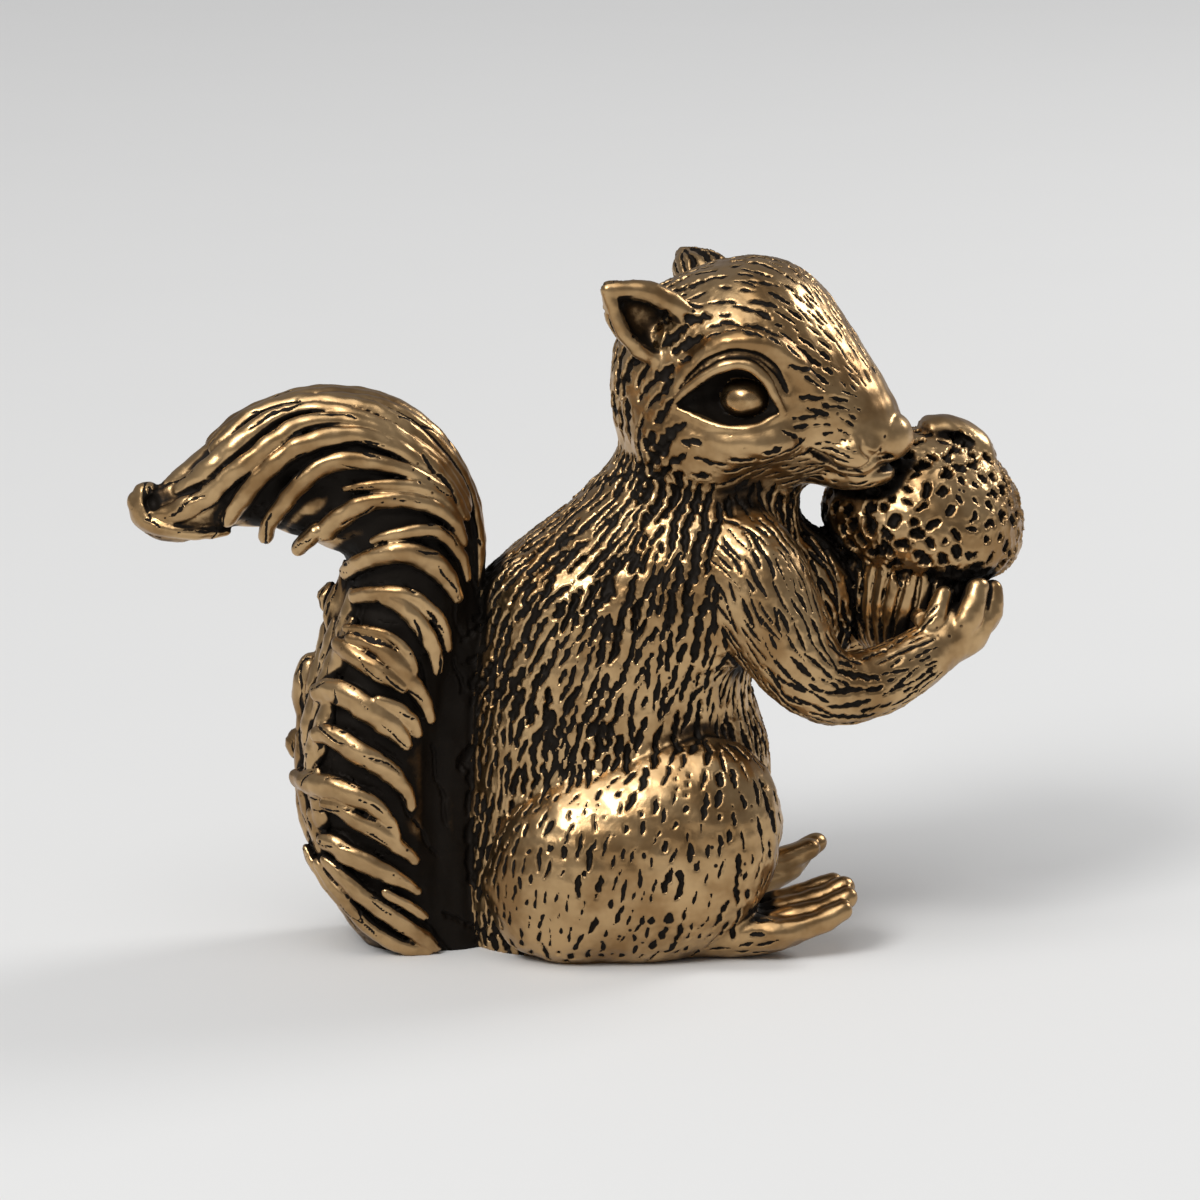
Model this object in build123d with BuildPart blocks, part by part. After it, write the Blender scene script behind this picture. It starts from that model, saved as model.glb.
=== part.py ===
# Squirrel figurine in cast brass, sitting up with an acorn in its paws.
#
# The figure is put together from separate castings: torso, head, ears, eyes, tail, arms, haunches,
# feet and a three-piece acorn. Brass dowels register the castings before they are soldered,
# and the smaller casting at each seam is let into the larger one.
# It stands on the level plane Z = 0 and looks along +X, so its right side is towards -Y.
# Most castings are lofts through oval sections, with rounded masses and strands raised on them.
# A table of shares gives the place and size of each section, mass or strand as parts of the named
# sizes of its casting.
import os

from build123d import *

# Fits shared by all the joints
solder_gap = 0.03
socket_end_gap = 0.25

# How blunt the ends of raised strands are
strand_point_share = 0.40

# Torso: level sections from the seat to the neck
torso_height = 28.4
torso_depth = 16.9
torso_width = 13.6
# height, centre forward, depth, width
torso_shares = [
    (0.000, -0.015, 0.734, 0.735),
    (0.107, 0.024, 0.899, 0.824),
    (0.250, 0.044, 0.953, 0.868),
    (0.393, 0.062, 0.953, 0.941),
    (0.536, 0.089, 0.959, 1.000),
    (0.643, 0.133, 0.976, 1.000),
    (0.729, 0.180, 1.000, 0.971),
    (0.793, 0.260, 0.923, 0.897),
    (0.857, 0.331, 0.781, 0.809),
    (0.929, 0.390, 0.639, 0.721),
    (1.000, 0.426, 0.544, 0.647),
]
# Rounded masses on the torso, centre and half sizes: forward and depth, out and width, up and height
shoulder_blade_shares = (0.331, 0.368, 0.725, 0.249, 0.169, 0.162)
belly_shares = (0.355, 0.000, 0.335, 0.272, 0.382, 0.197)
chest_shares = (0.698, 0.000, 0.676, 0.201, 0.265, 0.155)
back_x = min(centre - depth / 2 for _, centre, depth, _ in torso_shares) * torso_depth
neck_x = torso_shares[-1][1] * torso_depth

# Head: sections from the back of the skull to the nose, turned to the right on the neck
head_length = 17.9
head_height = 12.8
head_width = 12.6
head_turn_angle = -26.0
head_seat_share = 0.904
head_behind_neck_share = 0.335
# along, centre height, height, width
head_shares = [
    (0.000, 0.445, 0.040, 0.040),
    (0.027, 0.445, 0.375, 0.349),
    (0.105, 0.461, 0.703, 0.667),
    (0.226, 0.477, 0.875, 0.873),
    (0.377, 0.500, 1.000, 0.984),
    (0.527, 0.500, 0.992, 1.000),
    (0.648, 0.473, 0.898, 0.873),
    (0.738, 0.434, 0.727, 0.698),
    (0.828, 0.387, 0.500, 0.508),
    (0.905, 0.348, 0.305, 0.333),
    (0.950, 0.340, 0.172, 0.206),
    (0.969, 0.340, 0.063, 0.063),
]
# Rounded masses of the face, centre and half sizes: forward and length, out and width, up and height
nose_shares = (0.601, 0.000, 0.359, 0.056, 0.099, 0.078)
chin_shares = (0.480, 0.000, 0.152, 0.128, 0.143, 0.066)
lip_shares = (0.514, 0.091, 0.262, 0.103, 0.135, 0.117)
cheek_shares = (0.207, 0.373, 0.273, 0.168, 0.139, 0.105)
jowl_shares = (0.034, 0.349, 0.242, 0.184, 0.167, 0.203)
# Strands of the face, from the back corner of the eye to the front one: forward, out, up, thickness
brow_thickness = 1.36
brow_shares = [
    (-0.008, 0.460, 0.469, 0.44),
    (0.054, 0.470, 0.633, 0.74),
    (0.128, 0.440, 0.723, 0.91),
    (0.212, 0.425, 0.750, 1.00),
    (0.291, 0.370, 0.723, 0.91),
    (0.363, 0.330, 0.641, 0.74),
    (0.408, 0.325, 0.523, 0.44),
]
lid_thickness = 0.72
lid_shares = [
    (0.000, 0.470, 0.445, 0.50),
    (0.045, 0.504, 0.504, 0.75),
    (0.091, 0.510, 0.555, 0.86),
    (0.146, 0.510, 0.609, 0.94),
    (0.200, 0.505, 0.637, 1.00),
    (0.249, 0.495, 0.629, 1.00),
    (0.292, 0.480, 0.578, 0.92),
    (0.318, 0.462, 0.504, 0.81),
    (0.344, 0.435, 0.434, 0.55),
]
# The head's own frame: +X runs from the neck to the nose, +Z up from the jaw
head_frame = Plane(Location((neck_x, 0, head_seat_share * torso_height), (0, 0, head_turn_angle)))
head_middle = Plane(head_frame.origin, x_dir=head_frame.x_dir, z_dir=head_frame.y_dir)

# Ears: a thick leaf, leaning out and back, with its root let into the head and a hollow front
ear_length = 6.0
ear_width = 4.3
ear_thickness = 2.4
ear_rim = 0.6
ear_out_angle = 32.0
ear_back_angle = 41.0
ear_facing_angle = 45.0
ear_root_forward_share = -0.028
ear_root_side_share = 0.341
ear_root_height_share = 0.645
# along, width, thickness
ear_shares = [
    (0.00, 0.50, 0.70),
    (0.30, 0.84, 1.00),
    (0.46, 0.98, 1.00),
    (0.65, 1.00, 0.85),
    (0.83, 0.72, 0.62),
    (0.95, 0.36, 0.36),
    (1.00, 0.08, 0.10),
]
ear_hollow_shares = ear_shares[2:-1]

# Eyes: round beads let into an almond-shaped orbit on each side of the head
eye_diameter = 2.6
eye_forward_share = 0.197
eye_side_share = 0.387
eye_height_share = 0.473
# The orbit, centre and half sizes: forward and length, out and width, up and height
orbit_shares = (0.187, 0.516, 0.492, 0.157, 0.159, 0.129)

# Tail: sections square to a line that climbs the back, arches over and runs out to the tip
tail_sweep = 17.60
tail_height = 31.4
tail_depth = 9.6
tail_width = 10.8
tail_core_share = 0.86
# back, up, depth, width
tail_shares = [
    (0.052, -0.026, 0.530, 0.480),
    (0.178, 0.103, 0.857, 0.815),
    (0.241, 0.245, 0.978, 0.963),
    (0.236, 0.400, 1.000, 1.000),
    (0.184, 0.532, 0.956, 0.981),
    (0.132, 0.661, 0.879, 0.926),
    (0.144, 0.777, 0.868, 0.852),
    (0.247, 0.868, 0.791, 0.759),
    (0.408, 0.906, 0.626, 0.667),
    (0.586, 0.881, 0.582, 0.574),
    (0.736, 0.819, 0.484, 0.463),
    (0.862, 0.777, 0.341, 0.333),
    (0.954, 0.784, 0.209, 0.204),
    (0.994, 0.797, 0.077, 0.074),
]
# Masses that fill the tail out under its arch, at its tip and against the back: back, up, thickness
tail_fill_thickness = 5.8
arch_fill_shares = [
    (0.244, 0.783, 1.00),
    (0.381, 0.809, 0.76),
    (0.529, 0.828, 0.66),
    (0.700, 0.812, 0.55),
    (0.836, 0.793, 0.41),
]
back_fill_shares = [
    (0.017, -0.030, 0.90),
    (0.039, 0.191, 1.00),
    (0.039, 0.382, 1.00),
    (-0.006, 0.557, 0.83),
    (-0.029, 0.637, 0.55),
]
tip_shares = [
    (0.950, 0.828, 0.24),
    (0.944, 0.796, 0.33),
    (0.882, 0.783, 0.36),
    (0.779, 0.793, 0.38),
]
# Locks of hair on one side, each from its free tip to its root: back, out, up, thickness
lock_thickness = 1.5
lock_shares = [
    [
        (0.736, 0.083, 0.899, 0.48),
        (0.629, 0.047, 0.951, 0.56),
        (0.435, 0.086, 0.983, 0.50),
        (0.262, 0.154, 0.972, 0.66),
        (0.132, 0.193, 0.932, 0.72),
        (-0.017, 0.183, 0.832, 0.56),
        (-0.055, 0.194, 0.751, 0.48),
    ],
    [
        (0.926, 0.070, 0.793, 0.66),
        (0.837, 0.139, 0.807, 1.00),
        (0.640, 0.226, 0.891, 0.84),
        (0.465, 0.220, 0.954, 0.66),
        (0.294, 0.240, 0.955, 0.56),
        (0.126, 0.263, 0.905, 0.56),
        (-0.026, 0.242, 0.785, 0.48),
    ],
    [
        (0.698, 0.154, 0.788, 0.94),
        (0.619, 0.233, 0.857, 0.94),
        (0.534, 0.263, 0.901, 0.94),
        (0.404, 0.280, 0.933, 0.88),
        (0.243, 0.289, 0.928, 0.66),
        (0.129, 0.292, 0.892, 0.66),
        (-0.011, 0.254, 0.800, 0.48),
    ],
    [
        (0.586, 0.126, 0.757, 0.66),
        (0.546, 0.175, 0.807, 0.94),
        (0.448, 0.255, 0.870, 1.06),
        (0.345, 0.314, 0.894, 1.00),
        (0.183, 0.333, 0.880, 0.62),
        (0.070, 0.311, 0.844, 0.56),
        (-0.013, 0.265, 0.788, 0.48),
    ],
    [
        (0.446, 0.131, 0.723, 0.66),
        (0.393, 0.189, 0.765, 1.00),
        (0.309, 0.287, 0.810, 1.06),
        (0.220, 0.358, 0.827, 0.84),
        (0.120, 0.365, 0.818, 0.72),
        (0.036, 0.329, 0.795, 0.62),
        (-0.018, 0.290, 0.744, 0.48),
    ],
    [
        (0.329, 0.149, 0.687, 0.66),
        (0.263, 0.315, 0.721, 0.88),
        (0.175, 0.394, 0.735, 1.12),
        (0.048, 0.384, 0.699, 1.00),
        (0.004, 0.340, 0.649, 0.48),
    ],
    [
        (0.219, 0.395, 0.653, 0.50),
        (0.154, 0.430, 0.635, 0.78),
        (0.104, 0.428, 0.597, 0.72),
        (0.084, 0.416, 0.576, 0.66),
        (0.068, 0.393, 0.524, 0.48),
    ],
    [
        (0.319, 0.340, 0.580, 0.62),
        (0.247, 0.422, 0.570, 0.78),
        (0.181, 0.451, 0.536, 0.84),
        (0.123, 0.431, 0.490, 0.66),
        (0.091, 0.391, 0.438, 0.48),
    ],
    [
        (0.426, 0.235, 0.478, 0.78),
        (0.365, 0.352, 0.488, 1.22),
        (0.291, 0.439, 0.466, 1.28),
        (0.217, 0.460, 0.436, 1.12),
        (0.164, 0.442, 0.400, 0.50),
    ],
    [
        (0.428, 0.291, 0.408, 0.66),
        (0.364, 0.394, 0.403, 1.12),
        (0.289, 0.451, 0.379, 1.12),
        (0.185, 0.444, 0.330, 0.72),
        (0.150, 0.418, 0.282, 0.48),
    ],
    [
        (0.486, 0.114, 0.315, 0.88),
        (0.420, 0.323, 0.317, 1.34),
        (0.340, 0.421, 0.312, 1.16),
        (0.235, 0.450, 0.275, 0.66),
        (0.197, 0.433, 0.233, 0.48),
    ],
    [
        (0.410, 0.336, 0.287, 0.48),
        (0.340, 0.416, 0.274, 0.66),
        (0.268, 0.443, 0.250, 0.78),
        (0.196, 0.429, 0.218, 0.66),
        (0.140, 0.394, 0.186, 0.48),
    ],
    [
        (0.409, 0.306, 0.218, 0.78),
        (0.344, 0.381, 0.200, 1.12),
        (0.266, 0.415, 0.181, 1.00),
        (0.194, 0.409, 0.156, 0.72),
        (0.132, 0.375, 0.129, 0.48),
    ],
    [
        (0.399, 0.288, 0.179, 0.50),
        (0.341, 0.340, 0.146, 0.88),
        (0.270, 0.364, 0.110, 1.16),
        (0.147, 0.339, 0.058, 0.94),
        (0.069, 0.271, 0.017, 0.48),
    ],
    [
        (0.419, 0.226, 0.167, 0.56),
        (0.363, 0.278, 0.122, 0.78),
        (0.291, 0.303, 0.073, 1.12),
        (0.202, 0.307, 0.035, 1.22),
        (0.100, 0.276, 0.010, 0.56),
    ],
    [
        (0.978, 0.010, 0.807, 0.62),
        (0.938, 0.076, 0.787, 0.72),
        (0.857, 0.128, 0.767, 0.62),
        (0.700, 0.047, 0.760, 0.62),
        (0.630, 0.114, 0.774, 0.48),
    ],
]

# Arms: sections from inside the shoulder, round the elbow and out to the fingertips
arm_reach = 17.0
arm_drop = 8.8
arm_spread = 6.6
arm_thickness = 5.8
shoulder_forward_share = 0.385
shoulder_height_share = 0.822
# forward, down, out, thickness
arm_shares = [
    (0.000, 0.000, 0.530, 0.720),
    (0.124, 0.149, 0.818, 1.000),
    (0.200, 0.468, 0.955, 1.000),
    (0.276, 0.745, 1.000, 0.862),
    (0.394, 0.915, 0.970, 0.741),
    (0.547, 0.894, 0.894, 0.672),
    (0.688, 0.766, 0.788, 0.603),
    (0.806, 0.617, 0.697, 0.586),
    (0.900, 0.436, 0.621, 0.517),
    (0.953, 0.266, 0.576, 0.310),
    (0.976, 0.191, 0.561, 0.103),
]
shoulder_x = shoulder_forward_share * torso_depth
shoulder_z = shoulder_height_share * torso_height

# Haunches: upright sections from the rump to the knee
haunch_length = 16.8
haunch_height = 12.5
haunch_width = 7.6
haunch_spread = 5.5
haunch_back_share = -0.367
# along, centre height, centre out, height, width
haunch_shares = [
    (0.006, 0.344, 0.836, 0.047, 0.066),
    (0.057, 0.352, 0.855, 0.406, 0.421),
    (0.195, 0.391, 0.927, 0.760, 0.816),
    (0.402, 0.438, 0.982, 0.905, 0.974),
    (0.609, 0.492, 1.000, 1.000, 1.000),
    (0.793, 0.531, 1.000, 0.922, 0.947),
    (0.914, 0.563, 0.982, 0.656, 0.711),
    (0.977, 0.586, 0.964, 0.328, 0.368),
    (0.997, 0.594, 0.964, 0.063, 0.079),
]
haunch_back_x = haunch_back_share * torso_depth

# Feet: upright sections from the heel under the haunch to the raised toes
foot_length = 9.3
foot_width = 4.4
foot_height = 3.1
heel_along_share = 0.690
# along, centre height, height, width
foot_shares = [
    (0.00, 0.43, 0.80, 0.62),
    (0.30, 0.48, 0.98, 0.86),
    (0.56, 0.57, 0.96, 1.00),
    (0.78, 0.77, 0.90, 0.95),
    (0.93, 1.00, 0.70, 0.68),
    (0.99, 1.11, 0.28, 0.25),
]
heel_x = haunch_back_x + heel_along_share * haunch_length

# Acorn: a nut seated in a domed cup, with a bent stalk on top, leaning forward in the paws
nut_diameter = 8.4
nut_length = 9.6
cup_diameter = 11.2
cup_height = 7.0
stalk_length = 4.2
stalk_diameter = 2.1
acorn_lean_angle = 12.0
acorn_forward_share = 0.735
acorn_down_share = 0.205
nut_seat_share = 0.330
# The nut's half outline from the tip up: height along the nut, radius
nut_shares = [
    (0.00, 0.00),
    (0.04, 0.22),
    (0.14, 0.52),
    (0.30, 0.84),
    (0.50, 0.98),
    (0.70, 1.00),
    (1.00, 0.80),
]
# The cup's half outline from the rim up: height, radius
cup_shares = [
    (0.00, 0.84),
    (0.05, 0.95),
    (0.16, 0.99),
    (0.32, 1.00),
    (0.60, 0.86),
    (0.86, 0.52),
    (1.00, 0.00),
]
# The stalk's sections, from the foot let into the cup: forward, up, thickness
stalk_shares = [
    (0.50, -0.43, 0.95),
    (0.51, -0.26, 0.92),
    (0.36, -0.12, 0.86),
    (0.10, -0.04, 0.82),
    (-0.14, -0.02, 0.72),
    (-0.26, -0.03, 0.34),
    (-0.29, -0.03, 0.12),
]
# The acorn's own frame: the origin is the middle of the cup's rim, +Z runs up to the stalk
acorn_frame = Plane(
    Location(
        (shoulder_x + acorn_forward_share * arm_reach, 0, shoulder_z - acorn_down_share * arm_drop),
        (0, acorn_lean_angle, 0),
    )
)
acorn_axis = Axis(acorn_frame.origin, acorn_frame.z_dir)
acorn_section = Plane(acorn_frame.origin, x_dir=acorn_frame.x_dir, z_dir=-acorn_frame.y_dir)

# Dowels and pin
neck_dowel_diameter = 2.5
neck_dowel_length = 7.0
tail_dowel_diameter = 2.0
tail_dowel_length = 7.0
tail_dowel_height_shares = (0.20, 0.46)
shoulder_dowel_diameter = 1.6
shoulder_dowel_length = 4.0
haunch_dowel_diameter = 1.8
haunch_dowel_length = 5.0
haunch_dowel_along_shares = (0.36, 0.66)
haunch_dowel_height_share = 0.50
foot_dowel_diameter = 1.0
foot_dowel_length = 4.6
foot_dowel_height_share = 0.54
acorn_pin_diameter = 1.0
acorn_pin_bite = 1.0
acorn_pin_height_share = 0.36
acorn_pin_length = nut_diameter + 2 * acorn_pin_bite
dowel_edge_share = 0.12

# Where the dowels sit: each plane is at the middle of a dowel, with its Z along the dowel
neck_dowel_planes = [Plane((neck_x, 0, torso_height))]
tail_dowel_planes = [
    Plane((back_x, 0, share * tail_height), z_dir=(1, 0, 0)) for share in tail_dowel_height_shares
]
upper_arm_forward, upper_arm_down, upper_arm_out, _ = arm_shares[1]
upper_arm_x = shoulder_x + upper_arm_forward * arm_reach
upper_arm_y = upper_arm_out * arm_spread
upper_arm_z = shoulder_z - upper_arm_down * arm_drop
shoulder_dowel_planes = [
    Plane((upper_arm_x, side * upper_arm_y, upper_arm_z), z_dir=(0, 1, 0)) for side in (-1, 1)
]
haunch_dowel_z = haunch_dowel_height_share * haunch_height
haunch_dowel_planes = [
    Plane((haunch_back_x + share * haunch_length, side * haunch_spread, haunch_dowel_z), z_dir=(0, 1, 0))
    for share in haunch_dowel_along_shares
    for side in (-1, 1)
]
foot_dowel_x = heel_x + foot_shares[1][0] * foot_length
foot_dowel_planes = [
    Plane((foot_dowel_x, side * haunch_spread, foot_dowel_height_share * foot_height), z_dir=(1, 0, 0))
    for side in (-1, 1)
]
nut_top = nut_seat_share * nut_length
nut_tip = nut_top - nut_length
acorn_pin_place = Vector(0, 0, nut_tip + acorn_pin_height_share * nut_length)
acorn_pin_planes = [Plane(acorn_frame.from_local_coords(acorn_pin_place), z_dir=(0, 1, 0))]


def square_plane(centres, i):
    # The plane through one centre, square to the line of centres, with its X across the figure
    ahead = centres[min(i + 1, len(centres) - 1)]
    behind = centres[max(i - 1, 0)]
    return Plane(centres[i], x_dir=(0, 1, 0), z_dir=ahead - behind)


def mass(frame, length, width, height, shares, side=1):
    # A rounded mass, placed and sized by shares of a casting's length, width and height
    forward, out, up, half_length, half_width, half_height = shares
    centre = Vector(forward * length, side * out * width, up * height)
    ball = scale(Solid.make_sphere(1), by=(half_length * length, half_width * width, half_height * height))
    return frame.location * Location(centre) * ball


def strand(centres, thicknesses):
    # A round bar of changing thickness through a line of centres, with blunt points at both ends
    first = centres[0] + (centres[0] - centres[1]).normalized() * strand_point_share * thicknesses[0]
    last = centres[-1] + (centres[-1] - centres[-2]).normalized() * strand_point_share * thicknesses[-1]
    line = [first] + centres + [last]
    across = [strand_point_share * thicknesses[0]] + thicknesses + [strand_point_share * thicknesses[-1]]
    with BuildPart() as bar:
        for i, thickness in enumerate(across):
            with BuildSketch(square_plane(line, i)):
                Circle(thickness / 2)
        loft()
    return bar.part


def drill(planes, diameter, length):
    # Blind sockets for dowels, in the casting being made
    with Locations(*planes):
        Cylinder(diameter / 2 + solder_gap, length + 2 * socket_end_gap, mode=Mode.SUBTRACT)


def rods(planes, diameter, length):
    # Plain round dowels with broken edges
    with Locations(*planes):
        turned = Cylinder(diameter / 2, length)
    chamfer(turned.edges().filter_by(GeomType.CIRCLE), dowel_edge_share * diameter)


# Acorn nut
with BuildPart() as acorn_nut:
    with BuildSketch(acorn_section):
        with BuildLine():
            nut_outline = Spline(
                *[(radius * nut_diameter / 2, nut_tip + up * nut_length) for up, radius in nut_shares]
            )
            Polyline(nut_outline @ 1, (0, nut_top), nut_outline @ 0)
        make_face()
    revolve(axis=acorn_axis)
    drill(acorn_pin_planes, acorn_pin_diameter, acorn_pin_length)
acorn_nut.part.label = "acorn_nut"

# Acorn stalk, bent over at the top
stalk_centres = [
    acorn_frame.from_local_coords(Vector(forward * stalk_length, 0, cup_height + up * stalk_length))
    for forward, up, _ in stalk_shares
]
with BuildPart() as acorn_stalk:
    for i, (_, _, thickness) in enumerate(stalk_shares):
        with BuildSketch(square_plane(stalk_centres, i)):
            Circle(thickness * stalk_diameter / 2)
    loft()
acorn_stalk.part.label = "acorn_stalk"

# Acorn cup, hollowed to seat the nut and the stalk
with BuildPart() as acorn_cup:
    with BuildSketch(acorn_section):
        with BuildLine():
            cup_outline = Spline(*[(radius * cup_diameter / 2, up * cup_height) for up, radius in cup_shares])
            Polyline(cup_outline @ 1, (0, 0), cup_outline @ 0)
        make_face()
    revolve(axis=acorn_axis)
    add(acorn_nut.part, mode=Mode.SUBTRACT)
    add(acorn_stalk.part, mode=Mode.SUBTRACT)
acorn_cup.part.label = "acorn_cup"

# Torso, hollowed at the chest where the acorn is held against it
torso_masses = [mass(Plane.XY, torso_depth, torso_width, torso_height, belly_shares)]
torso_masses += [mass(Plane.XY, torso_depth, torso_width, torso_height, chest_shares)]
torso_masses += [
    mass(Plane.XY, torso_depth, torso_width, torso_height, shoulder_blade_shares, side) for side in (-1, 1)
]
with BuildPart() as torso:
    for height, centre, depth, width in torso_shares:
        with BuildSketch(Plane.XY.offset(height * torso_height)):
            with Locations((centre * torso_depth, 0)):
                Ellipse(depth * torso_depth / 2, width * torso_width / 2)
    loft()
    add(torso_masses)
    add(acorn_nut.part, mode=Mode.SUBTRACT)
    add(acorn_cup.part, mode=Mode.SUBTRACT)
    drill(neck_dowel_planes, neck_dowel_diameter, neck_dowel_length)
    drill(tail_dowel_planes, tail_dowel_diameter, tail_dowel_length)
    drill(shoulder_dowel_planes, shoulder_dowel_diameter, shoulder_dowel_length)
    drill(haunch_dowel_planes, haunch_dowel_diameter, haunch_dowel_length)
torso.part.label = "torso"

# Right haunch; the left one is its mirror image
with BuildPart() as right_haunch:
    for along, centre, out, height, width in haunch_shares:
        station = (haunch_back_x + along * haunch_length, -out * haunch_spread, centre * haunch_height)
        with BuildSketch(Plane(station, x_dir=(0, 1, 0), z_dir=(1, 0, 0))):
            Ellipse(width * haunch_width / 2, height * haunch_height / 2)
    loft()
    split(bisect_by=Plane.XY, keep=Keep.TOP)
    add(torso.part, mode=Mode.SUBTRACT)
    drill(haunch_dowel_planes, haunch_dowel_diameter, haunch_dowel_length)
    drill(foot_dowel_planes, foot_dowel_diameter, foot_dowel_length)
right_haunch.part.label = "right_haunch"

with BuildPart() as left_haunch:
    mirror(right_haunch.part, about=Plane.XZ)
left_haunch.part.label = "left_haunch"

# Right foot; the left one is its mirror image
with BuildPart() as right_foot:
    for along, centre, height, width in foot_shares:
        station = (heel_x + along * foot_length, -haunch_spread, centre * foot_height)
        with BuildSketch(Plane(station, x_dir=(0, 1, 0), z_dir=(1, 0, 0))):
            Ellipse(width * foot_width / 2, height * foot_height / 2)
    loft()
    split(bisect_by=Plane.XY, keep=Keep.TOP)
    add(right_haunch.part, mode=Mode.SUBTRACT)
    add(torso.part, mode=Mode.SUBTRACT)
    drill(foot_dowel_planes, foot_dowel_diameter, foot_dowel_length)
right_foot.part.label = "right_foot"

with BuildPart() as left_foot:
    mirror(right_foot.part, about=Plane.XZ)
left_foot.part.label = "left_foot"

# Tail: a core with the locks raised on it, made as its right half and mirrored
tail_centres = [Vector(back_x - back * tail_sweep, 0, up * tail_height) for back, up, _, _ in tail_shares]
tail_fills = []
for fill_shares in (arch_fill_shares, back_fill_shares, tip_shares):
    fill_line = [Vector(back_x - back * tail_sweep, 0, up * tail_height) for back, up, _ in fill_shares]
    tail_fills.append(strand(fill_line, [share * tail_fill_thickness for _, _, share in fill_shares]))
right_locks = []
for one_lock_shares in lock_shares:
    lock_line = [
        Vector(back_x - back * tail_sweep, -out * tail_width, up * tail_height)
        for back, out, up, _ in one_lock_shares
    ]
    lock = strand(lock_line, [share * lock_thickness for _, _, _, share in one_lock_shares])
    right_lock = split(lock, bisect_by=Plane.XZ, keep=Keep.TOP)
    right_locks.append(split(right_lock, bisect_by=Plane.XY, keep=Keep.TOP))
with BuildPart() as right_tail:
    for i, (_, _, depth, width) in enumerate(tail_shares):
        with BuildSketch(square_plane(tail_centres, i)):
            Ellipse(tail_core_share * width * tail_width / 2, tail_core_share * depth * tail_depth / 2)
    loft()
    add(tail_fills)
    split(bisect_by=Plane.XZ, keep=Keep.TOP)
    split(bisect_by=Plane.XY, keep=Keep.TOP)
    add(right_locks)
with BuildPart() as tail:
    add(right_tail.part)
    mirror(right_tail.part, about=Plane.XZ)
    add(torso.part, mode=Mode.SUBTRACT)
    add(right_haunch.part, mode=Mode.SUBTRACT)
    add(left_haunch.part, mode=Mode.SUBTRACT)
    drill(tail_dowel_planes, tail_dowel_diameter, tail_dowel_length)
tail.part.label = "tail"

# Right ear; the left one is its mirror image in the middle of the head
ear_root = head_frame.from_local_coords(
    Vector(
        ear_root_forward_share * head_length,
        -ear_root_side_share * head_width,
        ear_root_height_share * head_height,
    )
)
ear_lean = Location((0, 0, 0), (ear_out_angle, -ear_back_angle, -ear_facing_angle))
ear_frame = Plane(Location(ear_root, (0, 0, head_turn_angle)) * ear_lean)
with BuildPart() as right_ear:
    for along, width, thickness in ear_shares:
        with BuildSketch(ear_frame.offset(along * ear_length)):
            Ellipse(thickness * ear_thickness / 2, width * ear_width / 2)
    loft()
    for along, width, thickness in ear_hollow_shares:
        with BuildSketch(ear_frame.offset(along * ear_length)):
            with Locations((thickness * ear_thickness / 2, 0)):
                Ellipse(thickness * ear_thickness / 2, width * ear_width / 2 - ear_rim)
    loft(mode=Mode.SUBTRACT)
right_ear.part.label = "right_ear"

with BuildPart() as left_ear:
    mirror(right_ear.part, about=head_middle)
left_ear.part.label = "left_ear"

# Right eye; the left one is its mirror image in the middle of the head
eye_forward = eye_forward_share * head_length
eye_height = eye_height_share * head_height
right_eye_centre, left_eye_centre = [
    head_frame.from_local_coords(Vector(eye_forward, side * eye_side_share * head_width, eye_height))
    for side in (-1, 1)
]
with BuildPart() as right_eye:
    with Locations(right_eye_centre):
        Sphere(eye_diameter / 2)
right_eye.part.label = "right_eye"

with BuildPart() as left_eye:
    mirror(right_eye.part, about=head_middle)
left_eye.part.label = "left_eye"

# Orbits of the eyes
orbits = [mass(head_frame, head_length, head_width, head_height, orbit_shares, side) for side in (-1, 1)]

# Masses and strands of the face
face_masses = [mass(head_frame, head_length, head_width, head_height, nose_shares)]
face_masses += [mass(head_frame, head_length, head_width, head_height, chin_shares)]
for paired_shares in (lip_shares, cheek_shares, jowl_shares):
    for side in (-1, 1):
        face_masses += [mass(head_frame, head_length, head_width, head_height, paired_shares, side)]


def face_strand(shares, thickness):
    # A strand on the right side of the face
    line = [
        head_frame.from_local_coords(Vector(forward * head_length, -out * head_width, up * head_height))
        for forward, out, up, _ in shares
    ]
    return strand(line, [share * thickness for _, _, _, share in shares])


right_brow = face_strand(brow_shares, brow_thickness)
right_lid = face_strand(lid_shares, lid_thickness)

# Head
with BuildPart() as head:
    for along, centre, height, width in head_shares:
        station = Vector((along - head_behind_neck_share) * head_length, 0, centre * head_height)
        with BuildSketch(
            Plane(head_frame.from_local_coords(station), x_dir=head_frame.y_dir, z_dir=head_frame.x_dir)
        ):
            Ellipse(width * head_width / 2, height * head_height / 2)
    loft()
    add(face_masses)
    add(right_brow)
    mirror(right_brow, about=head_middle)
    add(orbits, mode=Mode.SUBTRACT)
    add(right_lid)
    mirror(right_lid, about=head_middle)
    with Locations(right_eye_centre, left_eye_centre):
        Sphere(eye_diameter / 2 + solder_gap, mode=Mode.SUBTRACT)
    add(torso.part, mode=Mode.SUBTRACT)
    add(acorn_cup.part, mode=Mode.SUBTRACT)
    add(right_ear.part, mode=Mode.SUBTRACT)
    add(left_ear.part, mode=Mode.SUBTRACT)
    drill(neck_dowel_planes, neck_dowel_diameter, neck_dowel_length)
head.part.label = "head"

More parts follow.
